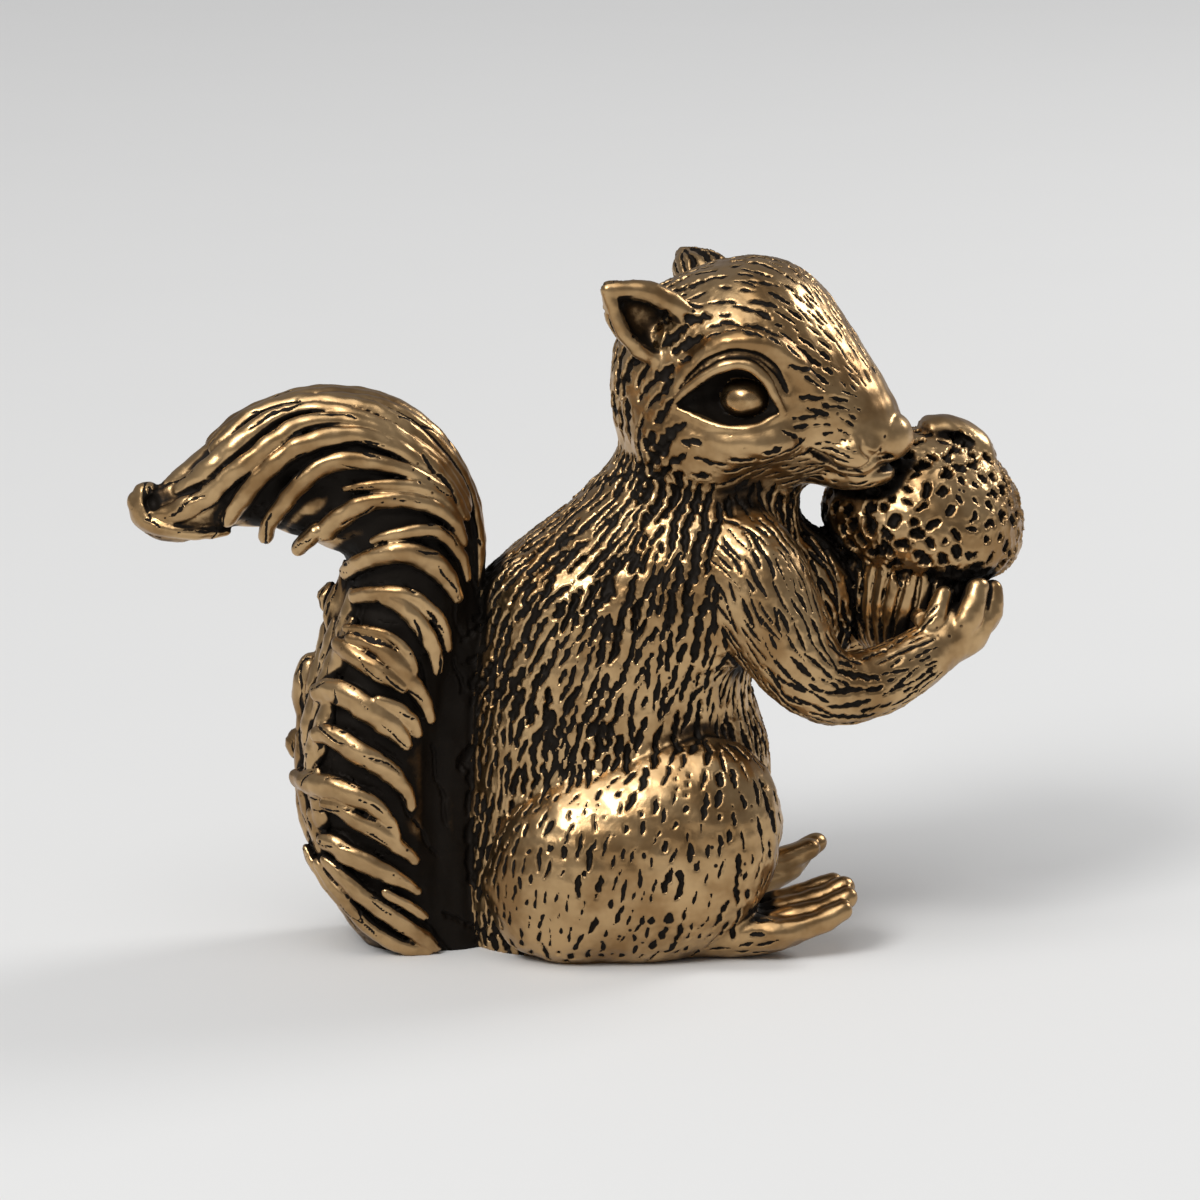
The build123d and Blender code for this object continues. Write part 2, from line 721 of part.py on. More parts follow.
# Right arm; the left one is its mirror image
arm_centres = [
    Vector(shoulder_x + forward * arm_reach, -out * arm_spread, shoulder_z - down * arm_drop)
    for forward, down, out, _ in arm_shares
]
with BuildPart() as right_arm:
    for i, (_, _, _, thickness) in enumerate(arm_shares):
        with BuildSketch(square_plane(arm_centres, i)):
            Circle(thickness * arm_thickness / 2)
    loft()
    add(torso.part, mode=Mode.SUBTRACT)
    add(right_haunch.part, mode=Mode.SUBTRACT)
    add(acorn_nut.part, mode=Mode.SUBTRACT)
    add(acorn_cup.part, mode=Mode.SUBTRACT)
    drill(shoulder_dowel_planes, shoulder_dowel_diameter, shoulder_dowel_length)
    drill(acorn_pin_planes, acorn_pin_diameter, acorn_pin_length)
right_arm.part.label = "right_arm"

with BuildPart() as left_arm:
    mirror(right_arm.part, about=Plane.XZ)
left_arm.part.label = "left_arm"

# Dowels, inside the castings
with BuildPart() as neck_dowel:
    rods(neck_dowel_planes, neck_dowel_diameter, neck_dowel_length)
neck_dowel.part.label = "neck_dowel"

with BuildPart() as tail_dowels:
    rods(tail_dowel_planes, tail_dowel_diameter, tail_dowel_length)
tail_dowels.part.label = "tail_dowels"

with BuildPart() as shoulder_dowels:
    rods(shoulder_dowel_planes, shoulder_dowel_diameter, shoulder_dowel_length)
shoulder_dowels.part.label = "shoulder_dowels"

with BuildPart() as haunch_dowels:
    rods(haunch_dowel_planes, haunch_dowel_diameter, haunch_dowel_length)
haunch_dowels.part.label = "haunch_dowels"

with BuildPart() as foot_dowels:
    rods(foot_dowel_planes, foot_dowel_diameter, foot_dowel_length)
foot_dowels.part.label = "foot_dowels"

with BuildPart() as acorn_pin:
    rods(acorn_pin_planes, acorn_pin_diameter, acorn_pin_length)
acorn_pin.part.label = "acorn_pin"

# One file for each piece
castings = [torso, head, right_ear, left_ear, right_eye, left_eye, tail, right_arm, left_arm]
castings += [right_haunch, left_haunch, right_foot, left_foot, acorn_nut, acorn_cup, acorn_stalk]
fastenings = [neck_dowel, tail_dowels, shoulder_dowels, haunch_dowels, foot_dowels, acorn_pin]
os.makedirs("parts", exist_ok=True)
for piece in castings + fastenings:
    export_step(piece.part, f"parts/{piece.part.label}.step")
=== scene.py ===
import math
from concurrent.futures import ThreadPoolExecutor

import bpy
import numpy as np
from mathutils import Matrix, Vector
from mathutils.kdtree import KDTree


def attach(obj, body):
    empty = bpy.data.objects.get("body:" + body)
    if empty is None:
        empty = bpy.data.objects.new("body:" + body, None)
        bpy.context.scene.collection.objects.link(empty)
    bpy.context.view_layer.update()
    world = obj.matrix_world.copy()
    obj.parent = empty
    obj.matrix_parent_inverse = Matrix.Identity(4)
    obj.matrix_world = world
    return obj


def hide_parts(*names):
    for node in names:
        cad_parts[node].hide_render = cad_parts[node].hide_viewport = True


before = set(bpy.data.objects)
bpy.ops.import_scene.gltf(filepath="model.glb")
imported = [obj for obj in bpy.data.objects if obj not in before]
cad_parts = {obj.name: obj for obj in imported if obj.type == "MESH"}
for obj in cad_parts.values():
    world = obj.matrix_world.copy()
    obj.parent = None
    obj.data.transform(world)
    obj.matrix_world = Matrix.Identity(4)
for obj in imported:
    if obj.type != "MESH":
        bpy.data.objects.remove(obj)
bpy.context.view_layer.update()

mm = 0.001  # the clay below is worked in millimetres, the meshes are in metres
seed = np.random.default_rng(17)

# Clay tools: every form is a field that is negative inside, worked on arrays of points


def unit(v):
    return v / np.maximum(np.linalg.norm(v, axis=-1, keepdims=True), 1e-9)


def weld(a, b, soft):  # join two forms with a fillet about as wide as soft
    h = np.maximum(soft - np.abs(a - b), 0) / soft
    return np.minimum(a, b) - h * h * soft * 0.25


def carve(a, b, soft):  # take form b out of form a
    return -weld(-a, b, soft)


def fold(p):  # both sides as one, on the left
    return p * np.float32([1, 0, 1]) + np.abs(p) * np.float32([0, 1, 0])


def bulge(p, centre, radii):  # an ellipsoid
    d = p - np.asarray(centre, np.float32)
    radii = np.asarray(radii, np.float32)
    k = np.linalg.norm(d / radii, axis=1)
    g = np.linalg.norm(d / (radii * radii), axis=1)
    return k * (k - 1) / np.maximum(g, 1e-6)


def smoothLine(points, steps):  # a curve through given rows, any number of columns
    p = np.asarray(points, float)
    ends = np.vstack([2 * p[0] - p[1], p, 2 * p[-1] - p[-2]])
    rows = []
    for i in range(len(p) - 1):
        a, b, c, d = ends[i:i + 4]
        for t in np.arange(steps) / steps:
            rows.append(0.5 * (2 * b + (c - a) * t + (2 * a - 5 * b + 4 * c - d) * t * t
                               + (3 * b - a - 3 * c + d) * t ** 3))
    return np.array(rows + [p[-1]])


def strand(p, rows):  # a round bar through rows of x, y, z, radius
    rows = np.asarray(rows, np.float32)
    out = None
    for a, b in zip(rows[:-1], rows[1:]):
        ab = b[:3] - a[:3]
        t = np.clip((p - a[:3]) @ ab / max(float(ab @ ab), 1e-9), 0, 1)
        d = np.linalg.norm(p - a[:3] - t[:, None] * ab, axis=1) - (a[3] + t * (b[3] - a[3]))
        out = d if out is None else np.minimum(out, d)
    return out


class Sections:  # cubic curve through station rows: place first, then the values
    def __init__(self, rows):
        rows = np.array(rows, float)
        self.at = rows[:, 0]
        self.values = rows[:, 1:]
        step = np.diff(self.at)[:, None]
        slope = np.diff(self.values, axis=0) / step
        mid = (slope[:-1] * step[1:] + slope[1:] * step[:-1]) / (step[:-1] + step[1:])
        self.slope = np.vstack([slope[:1], mid, slope[-1:]])

    def __call__(self, t):
        t = np.clip(t, self.at[0], self.at[-1])
        i = np.clip(np.searchsorted(self.at, t, side="right") - 1, 0, len(self.at) - 2)
        h = self.at[i + 1] - self.at[i]
        u = ((t - self.at[i]) / h)[:, None]
        h = h[:, None]
        v = self.values
        m = self.slope
        out = ((2 * u ** 3 - 3 * u ** 2 + 1) * v[i] + (u ** 3 - 2 * u ** 2 + u) * h * m[i]
               + (3 * u ** 2 - 2 * u ** 3) * v[i + 1] + (u ** 3 - u ** 2) * h * m[i + 1])
        return out.astype(np.float32)


def loft(along, across, up, sections):  # oval sections: centre across, centre up, half width, half height
    c = sections(along)
    halfWidth = np.maximum(c[:, 2], 0.02)
    halfHeight = np.maximum(c[:, 3], 0.02)
    k = np.hypot((across - c[:, 0]) / halfWidth, (up - c[:, 1]) / halfHeight)
    body = (k - 1) * np.minimum(halfWidth, halfHeight)
    past = np.maximum(sections.at[0] - along, along - sections.at[-1])
    return np.maximum(body, past)


# Torso, as the frame's torso: height, centre across, centre forward, half width, half depth

torso = dict(
    sections=Sections([
        (-1.0, 0, -0.5, 4.6, 5.6),
        (0.0, 0, -0.25, 5.0, 6.2),
        (3.04, 0, 0.41, 5.6, 7.6),
        (7.1, 0, 0.74, 5.9, 8.05),
        (11.16, 0, 1.05, 6.4, 8.05),
        (15.2, 0, 1.5, 6.8, 8.1),
        (18.3, 0, 2.25, 6.8, 8.25),
        (20.7, 0, 3.04, 6.6, 8.45),
        (22.5, 0, 4.4, 6.1, 7.8),
        (24.3, 0, 5.6, 5.5, 6.6),
        (26.4, 0, 6.6, 4.9, 5.4),
        (28.4, 0, 7.2, 4.4, 4.6),
    ]),
    shoulderBlade=((5.6, 5.0, 20.6), (4.2, 2.3, 4.6)),
    belly=((6.0, 0, 9.5), (4.6, 5.2, 5.6)),
    chest=((12.2, 0, 18.8), (3.5, 3.6, 4.4)),
)


def torsoField(p):
    f = loft(p[:, 2], p[:, 1], p[:, 0], torso["sections"])
    f = weld(f, bulge(fold(p), *torso["shoulderBlade"]), 1.6)
    f = weld(f, bulge(p, *torso["belly"]), 1.5)
    return weld(f, bulge(p, *torso["chest"]), 1.2)


# Head, in its own frame: x from the neck to the nose, y across, z up from the jaw, turned on the neck

head = dict(
    seat=(7.2, 0, 25.67),
    turn=-26,
    sections=Sections([
        (-5.6, 0, 5.7, 0.25, 0.25),
        (-5.1, 0, 5.7, 2.2, 2.4),
        (-3.8, 0, 5.85, 4.2, 4.45),
        (-1.95, 0, 6.05, 5.4, 5.45),
        (0.75, 0, 6.3, 6.2, 6.25),
        (3.43, 0, 6.4, 6.3, 6.3),
        (5.6, 0, 6.0, 5.45, 5.65),
        (7.21, 0, 5.35, 4.3, 4.45),
        (8.82, 0, 4.5, 3.1, 3.1),
        (10.0, 0, 3.8, 2.15, 2.1),
        (10.7, 0, 3.4, 1.4, 1.25),
        (11.05, 0, 3.35, 0.4, 0.4),
    ]),
    jowl=((0.6, 4.4, 3.1), (3.3, 2.1, 2.6)),
    cheek=((3.5, 4.85, 3.55), (3.0, 1.8, 1.3)),
    # along, height, out from the head's side, radius
    brow=[(-0.15, 5.6, -0.1, 0.3), (0.97, 7.5, -0.1, 0.5), (2.3, 8.65, -0.1, 0.62), (3.8, 9.0, -0.1, 0.66),
          (5.2, 8.65, -0.1, 0.6), (6.5, 7.6, -0.1, 0.5), (7.3, 6.1, -0.1, 0.3)],
    crease=[(0.1, 5.95, 0.0, 0.1), (0.75, 6.85, 0.0, 0.15), (1.5, 7.6, 0.0, 0.18), (2.5, 8.25, 0.0, 0.2),
            (3.6, 8.5, 0.0, 0.2), (4.7, 8.2, 0.0, 0.2), (5.55, 7.35, 0.0, 0.18), (6.05, 6.3, 0.0, 0.12)],
    lid=[(-0.2, 5.45, 0.0, 0.16), (0.7, 6.3, 0.1, 0.24), (1.62, 7.05, 0.14, 0.28), (2.62, 7.7, 0.16, 0.3),
         (3.58, 7.9, 0.16, 0.31), (4.45, 7.65, 0.16, 0.31), (5.1, 6.95, 0.14, 0.28), (5.55, 6.0, 0.1, 0.25),
         (5.9, 5.2, 0.03, 0.18)],
    lowerLid=[(0.3, 5.2, 0.0, 0.1), (1.5, 4.75, 0.0, 0.12), (2.7, 4.45, -0.03, 0.12),
              (4.25, 4.4, -0.03, 0.12), (5.1, 4.65, 0.0, 0.12), (5.7, 5.1, 0.0, 0.1)],
    corners=[(0.4, 5.45, 0.0, 0.2), (1.2, 5.75, -0.1, 0.65), (2.4, 6.05, -0.2, 1.2), (4.2, 6.0, -0.2, 1.2),
             (5.0, 5.65, -0.1, 0.7), (5.55, 5.3, 0.0, 0.22)],
    almond=((3.05, 5.9), (2.8, 1.75)),  # the dark ground round the eye: along and height, half sizes
    socket=((3.35, 6.5, 6.0), (2.4, 2.0, 1.55)),
    eye=((3.55, 4.85, 5.8), (1.35, 1.25, 1.05)),
    nose=((10.4, 0, 3.25), (1.25, 1.5, 1.35)),
    lip=((8.75, 1.55, 2.75), (1.7, 1.8, 1.5)),
    chin=((8.0, 0, 1.1), (2.6, 2.0, 0.9)),
    mouth=[(6.9, 2.95, -0.05, 0.12), (7.4, 2.5, -0.05, 0.27), (8.0, 2.0, -0.05, 0.3),
           (8.8, 1.72, -0.05, 0.28), (9.5, 1.8, -0.05, 0.28), (10.0, 2.1, -0.05, 0.26),
           (10.3, 2.5, -0.05, 0.2), (10.35, 2.8, -0.3, 0.14)],
    nostril=[(9.5, 3.6, 0.05, 0.1), (9.75, 2.95, 0.0, 0.2), (10.2, 2.5, -0.05, 0.22),
             (10.6, 2.3, -0.2, 0.18)],
)


def onHead(rows):  # rows that follow the head's side, as places
    rows = np.array(rows, float)
    c = head["sections"](rows[:, 0])
    side = c[:, 2] * np.sqrt(np.clip(1 - ((rows[:, 1] - c[:, 1]) / c[:, 3]) ** 2, 0.02, 1))
    return smoothLine(np.stack([rows[:, 0], side + rows[:, 2], rows[:, 1], rows[:, 3]], 1), 3)


def headClay(q):  # the head before its face is cut; q on its left side
    f = loft(q[:, 0], q[:, 1], q[:, 2], head["sections"])
    f = weld(f, bulge(q, *head["jowl"]), 1.6)
    f = weld(f, bulge(q, *head["cheek"]), 0.9)
    f = weld(f, strand(q, face["brow"]), 0.6)
    f = weld(f, bulge(q, *head["lip"]), 0.4)
    f = weld(f, bulge(q, *head["chin"]), 0.4)
    return weld(f, bulge(q, *head["nose"]), 0.15)


def onClay(rows):  # rows that follow the clay's side, as places
    across = np.linspace(0, 8, 161, dtype=np.float32)
    out = []
    for x, z, lift, radius in rows:
        f = headClay(np.stack([0 * across + x, across, 0 * across + z], 1))
        out.append((x, max(across[f < 0], default=0) + lift, z, radius))
    return smoothLine(out, 3)


face = {"brow": onHead(head["brow"])}
for name in ("crease", "lid", "lowerLid", "corners", "mouth", "nostril"):
    face[name] = onClay(head[name])


def toHead(p):
    a = math.radians(head["turn"])
    d = p - np.float32(head["seat"])
    return np.stack([d[:, 0] * math.cos(a) + d[:, 1] * math.sin(a),
                     -d[:, 0] * math.sin(a) + d[:, 1] * math.cos(a), d[:, 2]], axis=1).astype(np.float32)


def headField(p):
    q = toHead(p)
    q[:, 1] = np.abs(q[:, 1])
    f = headClay(q)
    f = carve(f, strand(q, face["mouth"]), 0.12)
    f = carve(f, strand(q, face["nostril"]), 0.12)
    f = carve(f, bulge(q, *head["socket"]), 0.3)
    f = carve(f, strand(q, face["corners"]), 0.25)
    f = weld(f, strand(q, face["lowerLid"]), 0.3)
    f = carve(f, strand(q, face["crease"]), 0.12)
    return weld(f, strand(q, face["lid"]), 0.12)


def eyeField(p, side):
    q = toHead(p)
    q[:, 1] *= side
    return bulge(q, *head["eye"])


# Ears, each in its own frame: x out of the hollow, y up across the leaf, z from the root to the tip

ear = dict(
    root=(-0.3, 4.35, 8.25),
    axis=(-0.66, 0.40, 0.64),
    facing=(0.52, 0.83, 0.1),
    leaf=((-0.25, 0, 2.5), (1.1, 1.8, 2.65)),
    point=[(-0.2, 0, 3.15, 1.0), (-0.1, 0, 4.35, 0.7), (0.05, 0, 5.2, 0.42)],
    hollow=((0.75, -0.05, 2.25), (1.5, 1.2, 2.2)),
    hollowPoint=[(0.5, 0, 3.15, 0.7), (0.5, 0, 4.15, 0.42), (0.5, 0, 4.7, 0.2)],
    upperRim=[(0.2, 1.3, -0.3, 0.75), (0.4, 1.6, 1.5, 0.66), (0.4, 1.35, 3.25, 0.6), (0.2, 0.55, 4.6, 0.52),
              (0.1, 0.0, 5.25, 0.45)],
    lowerRim=[(0.0, -1.2, 0.5, 0.42), (0.3, -1.55, 2.0, 0.42), (0.3, -1.2, 3.5, 0.42),
              (0.15, -0.45, 4.7, 0.4), (0.1, 0.0, 5.25, 0.36)],
)


def earFrame():
    axis = unit(np.array(ear["axis"]))
    facing = np.array(ear["facing"])
    facing = unit(facing - axis * (facing @ axis))
    return np.stack([facing, np.cross(facing, axis), axis], 1).astype(np.float32)


earTurn = earFrame()


def toEar(p, side):
    q = toHead(p)
    q[:, 1] *= side
    return (q - np.float32(ear["root"])) @ earTurn


def earField(p, side):
    q = toEar(p, side)
    f = weld(bulge(q, *ear["leaf"]), strand(q, smoothLine(ear["point"], 3)), 0.5)
    f = carve(f, bulge(q, *ear["hollow"]), 0.25)
    f = carve(f, strand(q, smoothLine(ear["hollowPoint"], 3)), 0.25)
    f = weld(f, strand(q, smoothLine(ear["upperRim"], 3)), 0.2)
    return weld(f, strand(q, smoothLine(ear["lowerRim"], 3)), 0.2)


# Haunch: forward, then centre out, centre up, half width, half height

haunch = dict(
    sections=Sections([
        (-6.1, 4.6, 4.3, 0.3, 0.3),
        (-5.25, 4.7, 4.4, 1.6, 2.55),
        (-2.93, 5.1, 4.9, 3.1, 4.75),
        (0.55, 5.4, 5.5, 3.7, 5.65),
        (4.03, 5.5, 6.15, 3.8, 6.25),
        (7.1, 5.5, 6.65, 3.6, 5.75),
        (9.15, 5.4, 7.05, 2.7, 4.1),
        (10.2, 5.3, 7.35, 1.4, 2.05),
        (10.55, 5.3, 7.45, 0.3, 0.4),
    ]),
)


def haunchField(p, side):
    return loft(p[:, 0], p[:, 1] * side, p[:, 2], haunch["sections"])


# Foot: a long sole with raised toes, hollowed along the top

foot = dict(
    sections=Sections([
        (5.4, 5.5, 1.33, 1.36, 1.24),
        (8.2, 5.5, 1.5, 1.9, 1.5),
        (10.6, 5.5, 1.7, 2.2, 1.3),
        (12.2, 5.5, 2.2, 2.0, 1.1),
        (13.1, 5.5, 2.55, 1.6, 0.85),
        (13.7, 5.5, 2.75, 0.7, 0.5),
    ]),
    toes=[
        [(9.6, 4.2, 2.5, 0.62), (12.2, 3.95, 3.0, 0.7), (13.6, 4.05, 3.55, 0.6)],
        [(9.8, 5.0, 2.3, 0.6), (12.7, 4.95, 2.9, 0.7), (14.1, 5.05, 3.6, 0.62)],
        [(9.8, 5.9, 2.0, 0.6), (12.7, 5.95, 2.5, 0.7), (14.1, 6.0, 3.25, 0.62)],
        [(9.6, 6.8, 1.6, 0.58), (12.2, 6.9, 2.0, 0.66), (13.7, 6.9, 2.75, 0.58)],
    ],
    dish=((10.9, 6.2, 4.0), (2.9, 1.9, 1.7)),
)


def footField(p, side):
    q = p * np.float32([1, side, 1])
    f = loft(q[:, 0], q[:, 1], q[:, 2], foot["sections"])
    f = carve(f, bulge(q, *foot["dish"]), 0.5)
    for toe in foot["toes"]:
        f = weld(f, strand(q, smoothLine(toe, 3)), 0.2)
    return f


# Arm: from inside the shoulder round the elbow to the palm, then the fingers against the nut

arm = dict(
    line=[
        (6.5, 3.5, 23.3, 2.1),
        (8.6, 5.4, 22.0, 2.85),
        (9.9, 6.3, 19.2, 2.85),
        (11.2, 6.6, 16.8, 2.45),
        (13.2, 6.4, 15.3, 2.1),
        (15.8, 5.9, 15.5, 1.9),
        (18.2, 5.2, 16.6, 1.65),
        (20.0, 4.7, 17.6, 1.35),
    ],
    palm=((20.4, 4.55, 18.0), (1.9, 1.1, 1.5)),
    fingers=[
        [(18.2, 5.3, 17.3, 0.66), (19.0, 5.3, 18.8, 0.62), (19.5, 5.0, 20.1, 0.48)],
        [(20.1, 5.3, 17.6, 0.82), (21.0, 5.2, 19.1, 0.8), (21.45, 4.8, 20.3, 0.62)],
        [(21.2, 4.7, 17.6, 0.78), (22.2, 4.4, 18.9, 0.74), (22.45, 4.0, 20.0, 0.58)],
        [(21.4, 3.7, 17.3, 0.66), (22.5, 3.3, 18.5, 0.62), (22.65, 2.9, 19.6, 0.46)],
    ],
)


def armField(p, side):
    q = p * np.float32([1, side, 1])
    f = strand(q, smoothLine(arm["line"], 5))
    f = weld(f, bulge(q, *arm["palm"]), 0.8)
    for finger in arm["fingers"]:
        f = weld(f, strand(q, smoothLine(finger, 3)), 0.08)
    return f


# Acorn, in its own frame: z from the nut's tip to the stalk, leaning forward

acorn = dict(
    rim=(19.0, 0, 21.54),
    lean=12,
    cupDome=((-0.2, 0, 1.5), (5.7, 5.5, 5.4)),
    cupUnder=((-0.2, 0, 1.5), (5.7, 5.5, 3.3)),
    nut=((0, 0, -1.5), (4.2, 4.2, 5.0)),
    nutTip=[(0, 0, -5.6, 0.9), (0, 0, -6.4, 0.3)],
    nutGrooves=30,
    nutGrooveDepth=0.3,
    stalk=[(2.2, 0, 5.2, 0.85), (2.2, 0, 6.0, 0.82), (1.75, 0, 6.6, 0.78), (0.9, 0, 6.95, 0.74),
           (0.0, 0, 7.1, 0.7), (-0.85, 0, 6.9, 0.7)],
    stalkWidth=1.9,
    stalkHollow=((0.3, 1.5, 6.5), (1.15, 0.8, 0.55)),
)


def toAcorn(p):
    a = math.radians(acorn["lean"])
    d = p - np.float32(acorn["rim"])
    return np.stack([d[:, 0] * math.cos(a) - d[:, 2] * math.sin(a), d[:, 1],
                     d[:, 0] * math.sin(a) + d[:, 2] * math.cos(a)], axis=1).astype(np.float32)


def cupField(p):
    q = toAcorn(p)
    dome = bulge(q, *acorn["cupDome"])
    under = bulge(q, *acorn["cupUnder"])
    return np.where(q[:, 2] > acorn["cupDome"][0][2], dome, under)


def nutField(p):
    q = toAcorn(p)
    turn = np.arctan2(q[:, 1], q[:, 0])
    wobble = 0.35 * np.sin(3 * turn + 1) + 0.25 * np.sin(7 * turn + q[:, 2])
    ridges = np.abs(np.sin(turn * acorn["nutGrooves"] / 2 + wobble))
    f = weld(bulge(q, *acorn["nut"]), strand(q, acorn["nutTip"]), 0.8)
    return f + acorn["nutGrooveDepth"] * (1 - np.minimum(ridges * 1.6, 1))


def stalkField(p):
    q = toAcorn(p)
    f = strand(q / np.float32([1, acorn["stalkWidth"], 1]), smoothLine(acorn["stalk"], 4))
    return carve(f, bulge(fold(q.astype(float)), *acorn["stalkHollow"]), 0.15)


# Tail: a core along a line of stations, covered by locks that sweep from the front edge to the back

